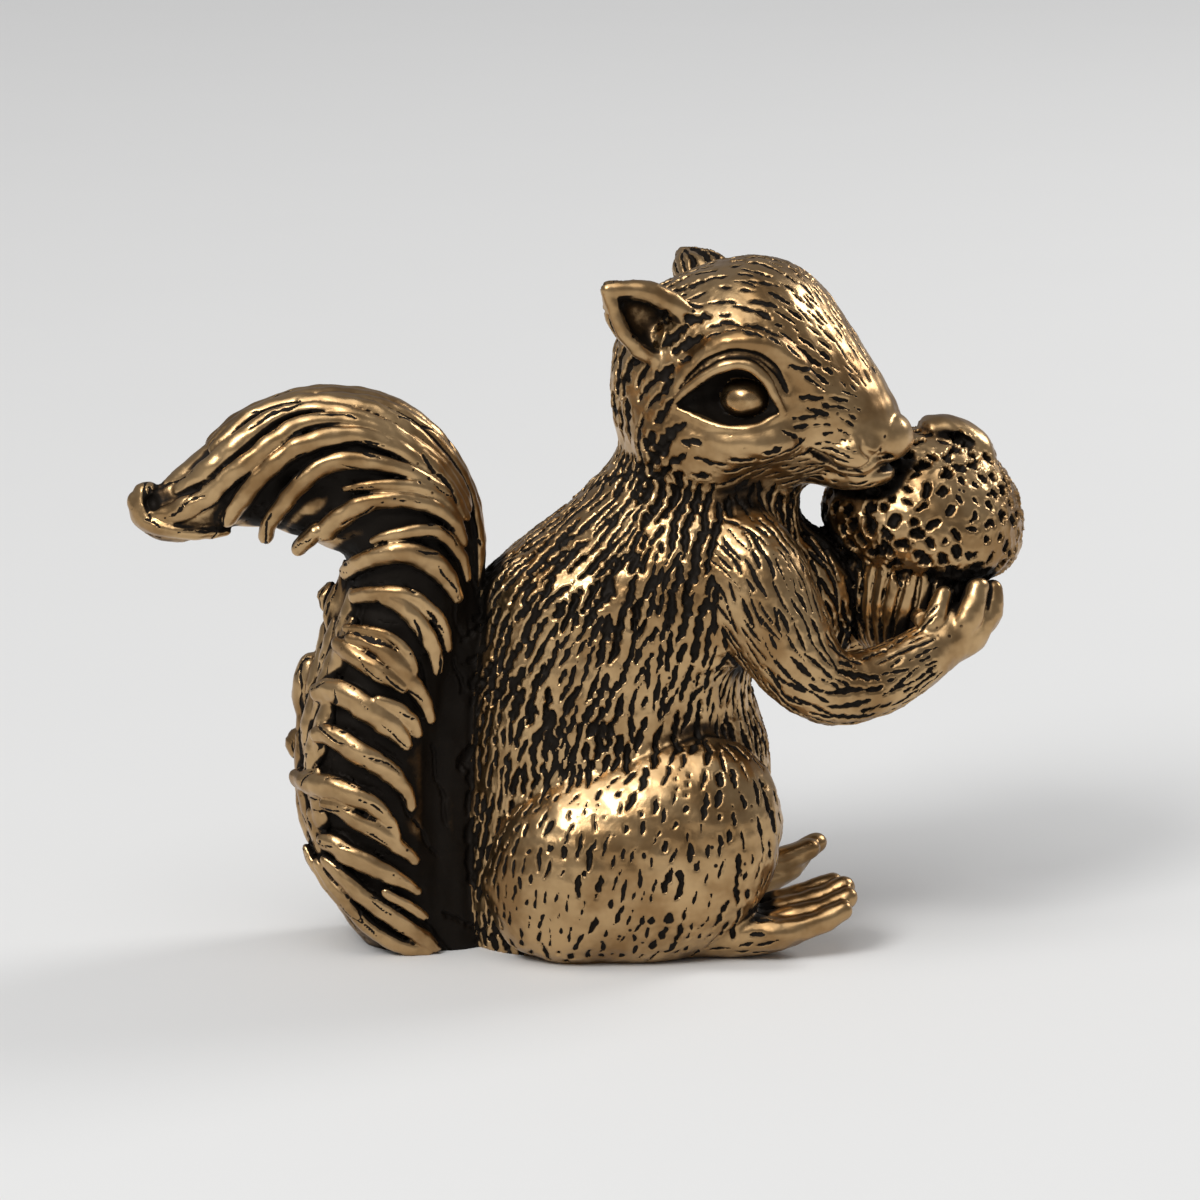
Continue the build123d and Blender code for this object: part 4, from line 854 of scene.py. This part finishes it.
def settle(p, q, rounds):  # move the vertices onto the surface
    step = np.float32(0.04)
    for _ in range(rounds):
        n = vertexNormals(p, q)
        f = figureField(p)
        slope = np.clip((figureField(p + step * n) - f) / step, 0.35, 3)
        p = p - np.clip(f / slope, -0.12, 0.12)[:, None] * n
    return p.astype(np.float32)


def sampleGrid(grid, low, p):
    q = np.clip((p - low) / clay["voxel"], 0, np.array(grid.shape) - 1.001)
    i = q.astype(int)
    t = q - i
    out = 0
    for a in (0, 1):
        for b in (0, 1):
            for c in (0, 1):
                w = (np.where(a, t[:, 0], 1 - t[:, 0]) * np.where(b, t[:, 1], 1 - t[:, 1])
                     * np.where(c, t[:, 2], 1 - t[:, 2]))
                out = out + w * grid[i[:, 0] + a, i[:, 1] + b, i[:, 2] + c]
    return out


grid, gridLow = fillGrid()
print("clay filled", grid.shape)
points, quads = surfaceNet(grid, gridLow)
points = settle(evenOut(points, quads), quads, 1)
points, quads = splitQuads(points, quads)
points = settle(points, quads, 2)
normals = vertexNormals(points, quads)
nearest = inPieces(figurePiece, points - np.float32(0.05) * normals)[:, 1].astype(int)
print("mesh settled", len(points), "vertices", len(quads), "quads")

# How enclosed each vertex is, as a darkening: the black patina stays in the hollows, and painted shade
# darkens the places where the forms close in

patinaAndShade = dict(
    reaches=((0.35, 0.3), (0.8, 0.3), (1.6, 0.25), (3.0, 0.15)),  # millimetres out, and the share of each
    shadeBetweenLocks=0.2,
    shadeTailFront=0.28,
    shadeUnderLocks=0.2,
    roundEye=0.9,
    insideEar=0.25,
)
shadeAndPatina = np.zeros(len(points))
for reach, share in patinaAndShade["reaches"]:
    clear = sampleGrid(grid, gridLow, points + reach * normals) / reach
    shadeAndPatina += share * np.clip(1 - clear, 0, 1)
at = np.flatnonzero(nearest == names.index("tail"))
between = np.clip(inPieces(lockField, points[at]) / 0.3, 0, 1)  # painted shade: the core between the locks is darkened
# Painted shade: darker in the valley at the tail's front against the torso, and darker the nearer a point
# lies to the tail's core.
inFront = np.clip((points[at, 0] + 9.4) / 1.2, 0, 1) * np.clip((24 - points[at, 2]) / 2, 0, 1)
low = np.clip(1 - inPieces(tailCore, points[at]) / 0.9, 0, 1)
shade = patinaAndShade["shadeBetweenLocks"] + patinaAndShade["shadeTailFront"] * inFront
shadeAndPatina[at] += shade * between + patinaAndShade["shadeUnderLocks"] * low
band = at[(between > 0.5) & (points[at, 0] > -9.8)]  # the tail's front, which gets coarse strokes

at = np.flatnonzero(nearest == names.index("head"))
(along, high), (halfLength, halfHeight) = head["almond"]
q = toHead(points[at])
ground = 1.25 - np.hypot((q[:, 0] - along) / halfLength, (q[:, 2] - high) / halfHeight)
sunk = np.clip(-loft(q[:, 0], np.abs(q[:, 1]), q[:, 2], head["sections"]) / 0.35, 0, 1)
shadeAndPatina[at] += patinaAndShade["roundEye"] * np.clip(ground * 4, 0, 1) * sunk
for side, word in ((-1, "right_ear"), (1, "left_ear")):
    at = np.flatnonzero(nearest == names.index(word))
    depth = np.abs(bulge(toEar(points[at], side), *ear["hollow"]))
    shadeAndPatina[at] += patinaAndShade["insideEar"] * np.clip(1 - depth / 0.25, 0, 1)

# Fur: strokes of a round-nosed chisel, laid along a flow over each casting


def inFrame(v):  # a direction of the head's frame in the figure's
    a = math.radians(head["turn"])
    return np.stack([v[..., 0] * math.cos(a) - v[..., 1] * math.sin(a),
                     v[..., 0] * math.sin(a) + v[..., 1] * math.cos(a), v[..., 2]], -1)


def furFlow(p, which):
    mine = {name: np.flatnonzero(which == i) for i, name in enumerate(names)}
    back = np.clip((4 - p[:, 0]) / 8, 0, 1) * np.clip((p[:, 2] - 12) / 10, 0, 1)
    front = np.clip((p[:, 0] - 6) / 5, 0, 1)
    flow = np.stack([-0.22 - 0.75 * back + 0.5 * front, 0 * back, 0 * back - 1], 1)
    at = mine["head"]
    q = toHead(p[at])
    down = np.clip((1.5 - q[:, 0]) / 5, 0, 1)
    rise = 0.25 * np.clip(q[:, 0] / 8, 0, 1) - 1.1 * down
    flow[at] = inFrame(np.stack([-1 + 0.75 * down, 0 * down, rise], 1))
    line = smoothLine(arm["line"], 5)[:, :3]
    for side, word in ((-1, "right_"), (1, "left_")):
        flow[mine[word + "ear"]] = inFrame(np.array(ear["axis"]) * [1, side, 1])
        flow[mine[word + "foot"]] = (1, 0, 0.2)
        at = mine[word + "arm"]
        q = p[at] * np.float32([1, side, 1])
        step = np.argmin(((q[:, None, :] - line[None, :-1]) ** 2).sum(2), 1)
        flow[at] = np.diff(line, axis=0)[step] * np.array([1, side, 1])
    at = mine["acorn_cup"]
    flow[at] = np.sin(p[at][:, [1, 2, 0]] * 1.7 + 2 * np.sin(p[at] * 1.3))
    starts = np.vstack([rows[:-1, :3] for rows in locks])
    steps = np.vstack([np.diff(rows[:, :3], axis=0) for rows in locks])
    near = KDTree(len(starts))
    for i, s in enumerate(starts):
        near.insert(s, i)
    near.balance()
    flow[mine["tail"]] = [steps[near.find(c)[1]] for c in p[mine["tail"]]]
    return flow


flow = furFlow(points, nearest)
flow = unit(flow - (flow * normals).sum(1, keepdims=True) * normals)

fur = {  # millimetres: length range, half width range, depth range, gap along, gap across
    "torso": dict(length=(0.9, 2.8), width=(0.14, 0.27), depth=(0.14, 0.27), along=0.35, across=0.5),
    "head": dict(length=(0.6, 1.9), width=(0.1, 0.19), depth=(0.09, 0.17), along=0.5, across=0.52),
    "right_haunch": dict(length=(0.35, 1.6), width=(0.07, 0.19), depth=(0.09, 0.19), along=0.55, across=0.6),
    "right_arm": dict(length=(0.6, 2.6), width=(0.08, 0.16), depth=(0.09, 0.17), along=0.4, across=0.42),
    "right_foot": dict(length=(0.8, 1.6), width=(0.11, 0.16), depth=(0.08, 0.14), along=0.5, across=0.5),
    "right_ear": dict(length=(1.4, 2.8), width=(0.12, 0.19), depth=(0.12, 0.2), along=0.4, across=0.42),
    "tail": dict(length=(1.2, 3.0), width=(0.05, 0.08), depth=(0.04, 0.08), along=2.4, across=1.0),
    "acorn_cup": dict(length=(0.4, 1.1), width=(0.2, 0.42), depth=(0.3, 0.5), along=0.4, across=0.95),
}
for pair in ("haunch", "arm", "foot", "ear"):
    fur["left_" + pair] = fur["right_" + pair]


def furMap():  # how coarse the strokes are, and where there are none
    patches = sum(np.sin(points @ d + k) for k, d in enumerate(seed.normal(0, 0.9, (5, 3))))
    coarse = 1 + 0.16 * patches.clip(-2, 2.5)
    coarse[band] = 2.4
    bare = points[:, 2] < 0.5
    at = np.flatnonzero(nearest == names.index("head"))
    q = toHead(points[at])
    coarse[at] *= np.interp(q[:, 0], [-4, 0, 3, 7, 10], [1.8, 1.45, 1.0, 0.8, 0.65])
    smooth = np.hypot((q[:, 0] - 3.5) / 3.5, (np.abs(q[:, 2]) - 6.1) / 3.5) < 1  # round the eye
    bare[at] |= (smooth & (np.abs(q[:, 1]) > 3)) | (q[:, 0] > 9.4)
    for side, word in ((-1, "right_"), (1, "left_")):
        bare |= (nearest == names.index(word + "arm")) & (points[:, 0] > 18.6)
        bare |= (nearest == names.index(word + "foot")) & (points[:, 0] > 9.5)
        facing = inFrame(np.array(ear["facing"]) * [1, side, 1])
        bare |= (nearest == names.index(word + "ear")) & (normals @ facing > 0.1)
    return coarse, bare


coarse, bare = furMap()
groove = np.full(len(points), -1.0)
ragged = 0.16 * sum(np.sin(points @ d + k) for k, d in enumerate(seed.normal(0, 5.5, (6, 3))))
sink = np.zeros(len(points))
lip = np.zeros(len(points))
tree = KDTree(len(points))
for i, c in enumerate(points):
    tree.insert(c, i)
tree.balance()


def chisel(start, style):
    size = coarse[start]
    length = seed.uniform(*style["length"]) * size ** 0.6
    width = seed.uniform(*style["width"]) * size
    depth = seed.uniform(*style["depth"]) * size
    near = np.array([hit[1] for hit in tree.find_range(points[start], length / 2 + style["along"] + 0.1)])
    lean = seed.uniform(-0.22, 0.22)
    along = unit(flow[start] + lean * np.cross(normals[start], flow[start]))
    across = np.cross(normals[start], along)
    d = points[near] - points[start]
    near = near[(normals[near] @ normals[start] > 0.25) & (np.abs(d @ normals[start]) < 0.9)]
    d = points[near] - points[start]
    s = d @ along
    r = np.abs(d @ across + style["across"] * 0.1 * np.sin(s * 2.5 + start))
    end = np.abs(s) / (length / 2)
    half = width * np.sqrt(np.clip(1.08 - end ** 2, 0.01, 1))
    inside = np.where(end < 1.04, 1 - r / half, -1) + ragged[near]
    groove[near] = np.maximum(groove[near], inside)
    hollow = np.clip(inside, 0, 1)
    sink[near] = np.maximum(sink[near], depth * hollow * (2 - hollow))
    rim = np.clip(1 - np.abs(inside + 0.35) / 0.35, 0, 1)
    lip[near] = np.maximum(lip[near], 0.16 * depth * rim)
    return near[(end < 1 + 2 * style["along"] / length) & (r < style["across"] * size ** 0.6)]


def layFur():
    taken = np.zeros(len(points), bool)
    strokes = 0
    for name, style in fur.items():
        mine = np.flatnonzero(nearest == names.index(name))
        for start in seed.permutation(mine):
            if taken[start] or bare[start]:
                continue
            taken[chisel(start, style)] = True
            strokes += 1
    return strokes


print("strokes", layFur())
rough = sum(0.012 * np.sin(points @ d + k) for k, d in enumerate(seed.normal(0, 2.4, (7, 3))))
onBase = points[:, 2] < 0.03
push = np.where(onBase, 0, lip + rough - sink)
points = points + push[:, None].astype(np.float32) * normals
points[:, 2] = np.maximum(points[:, 2], 0)

# Material nodes as Python expressions


class Wire:
    def __init__(self, sheet, socket):
        self.sheet = sheet
        self.socket = socket

    def maths(self, kind, other, swap=False):
        pair = (other, self) if swap else (self, other)
        return self.sheet.node("ShaderNodeMath", dict(operation=kind), {0: pair[0], 1: pair[1]})

    def __add__(self, other):
        return self.maths("ADD", other)

    def __radd__(self, other):
        return self.maths("ADD", other, True)

    def __sub__(self, other):
        return self.maths("SUBTRACT", other)

    def __rsub__(self, other):
        return self.maths("SUBTRACT", other, True)

    def __mul__(self, other):
        return self.maths("MULTIPLY", other)

    def __rmul__(self, other):
        return self.maths("MULTIPLY", other, True)

    def atLeast(self, other):
        return self.maths("MAXIMUM", other)

    def ramp(self, low, high):
        return self.sheet.node("ShaderNodeMapRange", dict(interpolation_type="SMOOTHSTEP"),
                               {"Value": self, "From Min": low, "From Max": high})


class Finish:  # one material and its node sheet
    def __init__(self, name):
        self.material = bpy.data.materials.new(name)
        self.material.use_nodes = True
        self.nodes = self.material.node_tree.nodes
        self.shader = self.nodes["Principled BSDF"]

    def node(self, kind, settings, inputs, output=0):
        made = self.nodes.new(kind)
        for key, value in settings.items():
            setattr(made, key, value)
        self.plug(made, inputs)
        return Wire(self, made.outputs[output])

    def plug(self, made, inputs):
        for key, value in inputs.items():
            if isinstance(value, Wire):
                self.material.node_tree.links.new(value.socket, made.inputs[key])
            else:
                made.inputs[key].default_value = value

    def attribute(self, name):
        return self.node("ShaderNodeAttribute", dict(attribute_name=name), {}, "Fac")

    def noise(self, scale, detail=3.0, rough=0.6):
        place = self.node("ShaderNodeTexCoord", {}, {}, "Object")
        inputs = {"Vector": place, "Scale": scale, "Detail": detail, "Roughness": rough}
        return self.node("ShaderNodeTexNoise", {}, inputs)

    def pits(self, scale):
        place = self.node("ShaderNodeTexCoord", {}, {}, "Object")
        return self.node("ShaderNodeTexVoronoi", {}, {"Vector": place, "Scale": scale}, "Distance")

    def blend(self, share, a, b):
        return self.node("ShaderNodeMix", dict(data_type="RGBA"), {"Factor": share, 6: a, 7: b}, 2)


brass = dict(
    rubbed=(0.54, 0.36, 0.18, 1),
    tan=(0.29, 0.17, 0.072, 1),
    brown=(0.085, 0.048, 0.021, 1),
    black=(0.010, 0.007, 0.0045, 1),
)


def castBrass():
    f = Finish("cast_brass")
    cut = f.attribute("groove").ramp(-0.05, 0.3)
    # The hollow value holds the black patina of the hollows and the painted shade.
    hollow = f.attribute("hollow")
    cloud = f.noise(240, 4)
    grain = f.noise(2600, 3)
    specks = (1 - f.pits(1500).ramp(0.10, 0.22)) * f.noise(420, 2).ramp(0.56, 0.66)
    shade = (hollow + (cloud - 0.5) * 0.3 + (grain - 0.5) * 0.12).ramp(0.30, 0.62)
    dark = cut.atLeast(shade).atLeast(specks)
    metal = f.blend(cloud.ramp(0.36, 0.66), brass["rubbed"], brass["tan"])
    # Patina and painted shade: the dark value turns the metal brown, then black.
    agedAndShaded = f.blend(dark.ramp(0.0, 0.6), metal, brass["brown"])
    bump = f.node("ShaderNodeBump", {}, {"Height": grain * 0.25 - cut - specks * 0.8, "Strength": 0.35,
                                         "Distance": 0.00012})
    f.plug(f.shader, {"Base Color": f.blend(dark.ramp(0.35, 0.95), agedAndShaded, brass["black"]),
                      "Metallic": 1 - dark * 0.5,
                      "Roughness": 0.26 + grain * 0.1 + dark * 0.3,
                      "Specular IOR Level": 0.2,
                      "Normal": bump})
    return f.material


def beadBrass():  # the eyes, dark at the edge
    f = Finish("bead_brass")
    cloud = f.noise(700, 3)
    # Darker at the edge by the hollow value: patina and painted shade.
    dark = (f.attribute("hollow") + (cloud - 0.5) * 0.5).ramp(0.22, 0.6)
    metal = f.blend(cloud.ramp(0.35, 0.65), brass["rubbed"], brass["tan"])
    f.plug(f.shader, {"Base Color": f.blend(dark, metal, brass["brown"]), "Metallic": 1.0,
                      "Roughness": 0.24 + dark * 0.2})
    return f.material


def rodBrass():
    f = Finish("rod_brass")
    drawn = f.noise(900, 3)
    f.plug(f.shader, {"Base Color": f.blend(drawn.ramp(0.3, 0.7), brass["rubbed"], brass["tan"]),
                      "Metallic": 1.0, "Roughness": 0.3 + drawn * 0.15})
    return f.material


castFinish = castBrass()
beadFinish = beadBrass()
rodFinish = rodBrass()

# Cut the figure into its castings along the seams, each closed inside


def seamLoops(own, local):  # the open edges of a casting, as loops of its vertices
    edges = np.stack([local, np.roll(local, -1, 1)], 2).reshape(-1, 2)
    key = edges.min(1) * len(own) + edges.max(1)
    _, first, count = np.unique(key, return_index=True, return_counts=True)
    following = {}
    for a, b in edges[first[count == 1]]:
        following.setdefault(b, []).append(a)
    loops = []
    while following:
        start = next(iter(following))
        loop = [start]
        while True:
            ways = following.get(loop[-1])
            if not ways:
                break
            onward = ways.pop()
            if not ways:
                del following[loop[-1]]
            if onward == start:
                break
            loop.append(onward)
        loops.append(loop)
    return loops


smoothNormals = vertexNormals(points, quads)
# The hollow attribute carries the black patina and the painted shade.
values = {"groove": groove, "hollow": shadeAndPatina}
votes = nearest[quads]
belongs = np.where((votes[:, 1:] == votes[:, :1]).any(1), votes[:, 0], votes[:, 1])


def joinCrumbs(least=300):  # islands of a few quads join the casting round them, and shut-in bubbles go
    edges = np.sort(np.stack([quads, np.roll(quads, -1, 1)], 2).reshape(-1, 2), 1).astype(np.int64)
    key = edges[:, 0] * len(points) + edges[:, 1]
    order = np.argsort(key, kind="stable")
    pair = np.flatnonzero(key[order][1:] == key[order][:-1])
    left = order[pair] // 4
    right = order[pair + 1] // 4
    same = belongs[left] == belongs[right]
    island = np.arange(len(quads))
    before = None
    while before is None or (island != before).any():
        before = island
        island = before.copy()
        lower = np.minimum(before[left[same]], before[right[same]])
        np.minimum.at(island, before[left[same]], lower)
        np.minimum.at(island, before[right[same]], lower)
        island = island[island]
    crumb = np.bincount(island, minlength=len(quads))[island] < least
    host = belongs.copy()
    for a, b in ((left, right), (right, left)):
        edge = crumb[a] & ~crumb[b]
        host[island[a[edge]]] = belongs[b[edge]]
    bubble = crumb.copy()
    bubble[np.isin(island, island[np.concatenate([left[~same], right[~same]])])] = False
    print("crumbs", len(np.unique(island[crumb])), "of which bubbles", len(np.unique(island[bubble])))
    return np.where(bubble, -1, np.where(crumb, host[island], belongs))


belongs = joinCrumbs()


def makeCasting(index, name):
    faces = quads[belongs == index]
    used, local = np.unique(faces, return_inverse=True)
    local = local.reshape(-1, 4)
    own = points[used]
    ownNormals = smoothNormals[used]
    loops = seamLoops(own, local)
    extra = []
    extraNormals = []
    caps = []
    for loop in loops:  # a fan from each seam to its middle, a little inside
        if len(loop) < 3:
            continue
        middle = own[loop].mean(0) - 0.15 * ownNormals[loop].mean(0)
        base = len(own) + len(extra)
        extra += [*own[loop], middle]
        extraNormals += [*ownNormals[loop], -ownNormals[loop].mean(0)]
        hub = base + len(loop)
        caps += [(base + i, base + (i + 1) % len(loop), hub) for i in range(len(loop))]
    vertices = np.vstack([own] + ([np.array(extra)] if extra else []))
    mesh = bpy.data.meshes.new(name + "_cast")
    mesh.from_pydata((vertices * mm).tolist(), [], local.tolist() + caps)
    for key, value in values.items():
        layer = mesh.attributes.new(key, "FLOAT", "POINT")
        filled = np.concatenate([value[used], np.zeros(len(extra))])
        layer.data.foreach_set("value", filled.astype(np.float32))
    mesh.shade_smooth()
    allNormals = np.vstack([ownNormals] + ([unit(np.array(extraNormals))] if extra else []))
    mesh.normals_split_custom_set_from_vertices(allNormals.tolist())
    mesh.materials.append(beadFinish if name.endswith("_eye") else castFinish)
    piece = bpy.data.objects.new(name + "_cast", mesh)
    bpy.context.scene.collection.objects.link(piece)
    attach(piece, "root")
    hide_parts(name)
    return len(faces), len(loops)


for index, name in enumerate(names):
    print(name, "quads and seams", *makeCasting(index, name))

for name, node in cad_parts.items():  # the dowels inside keep the frame's solids
    if name.endswith(("_dowel", "_dowels", "_pin")):
        node.data.materials.clear()
        node.data.materials.append(rodFinish)

# Floor, light and camera

studio = dict(
    floor=(0.72, 0.72, 0.71, 1),
    floorHalf=3.0,
    world=(0.25, 0.25, 0.26, 1),
    sun=dict(place=(-0.25, -0.3, 0.8), strength=1.25, spread=55),
    lamps=[  # place and size in metres, power in watts
        ("key", (-0.34, -0.40, 0.46), 0.26, 2.4),
        ("rim", (0.45, 0.20, 0.34), 0.22, 1.3),
    ],
    camera=dict(target=(1.06, 0, 19.17), azimuth=-7, elevation=12, distance=350, width=66.67),
)


def makeFloor():
    mesh = bpy.data.meshes.new("floor")
    w = studio["floorHalf"]
    mesh.from_pydata([(-w, -w, 0), (w, -w, 0), (w, w, 0), (-w, w, 0)], [], [(0, 1, 2, 3)])
    f = Finish("floor_paint")
    paint = f.noise(40, 2)
    darker = tuple(c * 0.985 for c in studio["floor"][:3]) + (1,)
    f.plug(f.shader, {"Base Color": f.blend(paint, studio["floor"], darker), "Roughness": 0.85})
    mesh.materials.append(f.material)
    floor = bpy.data.objects.new("floor", mesh)
    bpy.context.scene.collection.objects.link(floor)


def lookAt(thing, target):
    thing.rotation_euler = (Vector(target) - thing.location).to_track_quat("-Z", "Y").to_euler()


def makeLights():
    world = bpy.data.worlds.new("studio")
    bpy.context.scene.world = world
    world.use_nodes = True
    world.node_tree.nodes["Background"].inputs["Color"].default_value = studio["world"]
    sky = bpy.data.lights.new("sky", "SUN")
    sky.energy = studio["sun"]["strength"]
    sky.angle = math.radians(studio["sun"]["spread"])
    made = bpy.data.objects.new("sky", sky)
    made.location = studio["sun"]["place"]
    lookAt(made, (0, 0, 0))
    bpy.context.scene.collection.objects.link(made)
    for name, place, size, power in studio["lamps"]:
        lamp = bpy.data.lights.new(name, "AREA")
        lamp.shape = "DISK"
        lamp.size = size
        lamp.energy = power
        made = bpy.data.objects.new(name, lamp)
        made.location = place
        lookAt(made, (0, 0, 0.018))
        bpy.context.scene.collection.objects.link(made)


def makeCamera():
    c = studio["camera"]
    a = math.radians(c["azimuth"])
    e = math.radians(c["elevation"])
    back = Vector((math.sin(a) * math.cos(e), -math.cos(a) * math.cos(e), math.sin(e)))
    lens = bpy.data.cameras.new("photo")
    lens.sensor_width = 36
    lens.lens = 36 * c["distance"] / c["width"]
    lens.clip_start = 0.01
    camera = bpy.data.objects.new("photo", lens)
    camera.location = (Vector(c["target"]) + back * c["distance"]) * mm
    lookAt(camera, Vector(c["target"]) * mm)
    bpy.context.scene.collection.objects.link(camera)
    bpy.context.scene.camera = camera


makeFloor()
makeLights()
makeCamera()
bpy.context.scene.view_settings.view_transform = "Standard"
print("studio set")
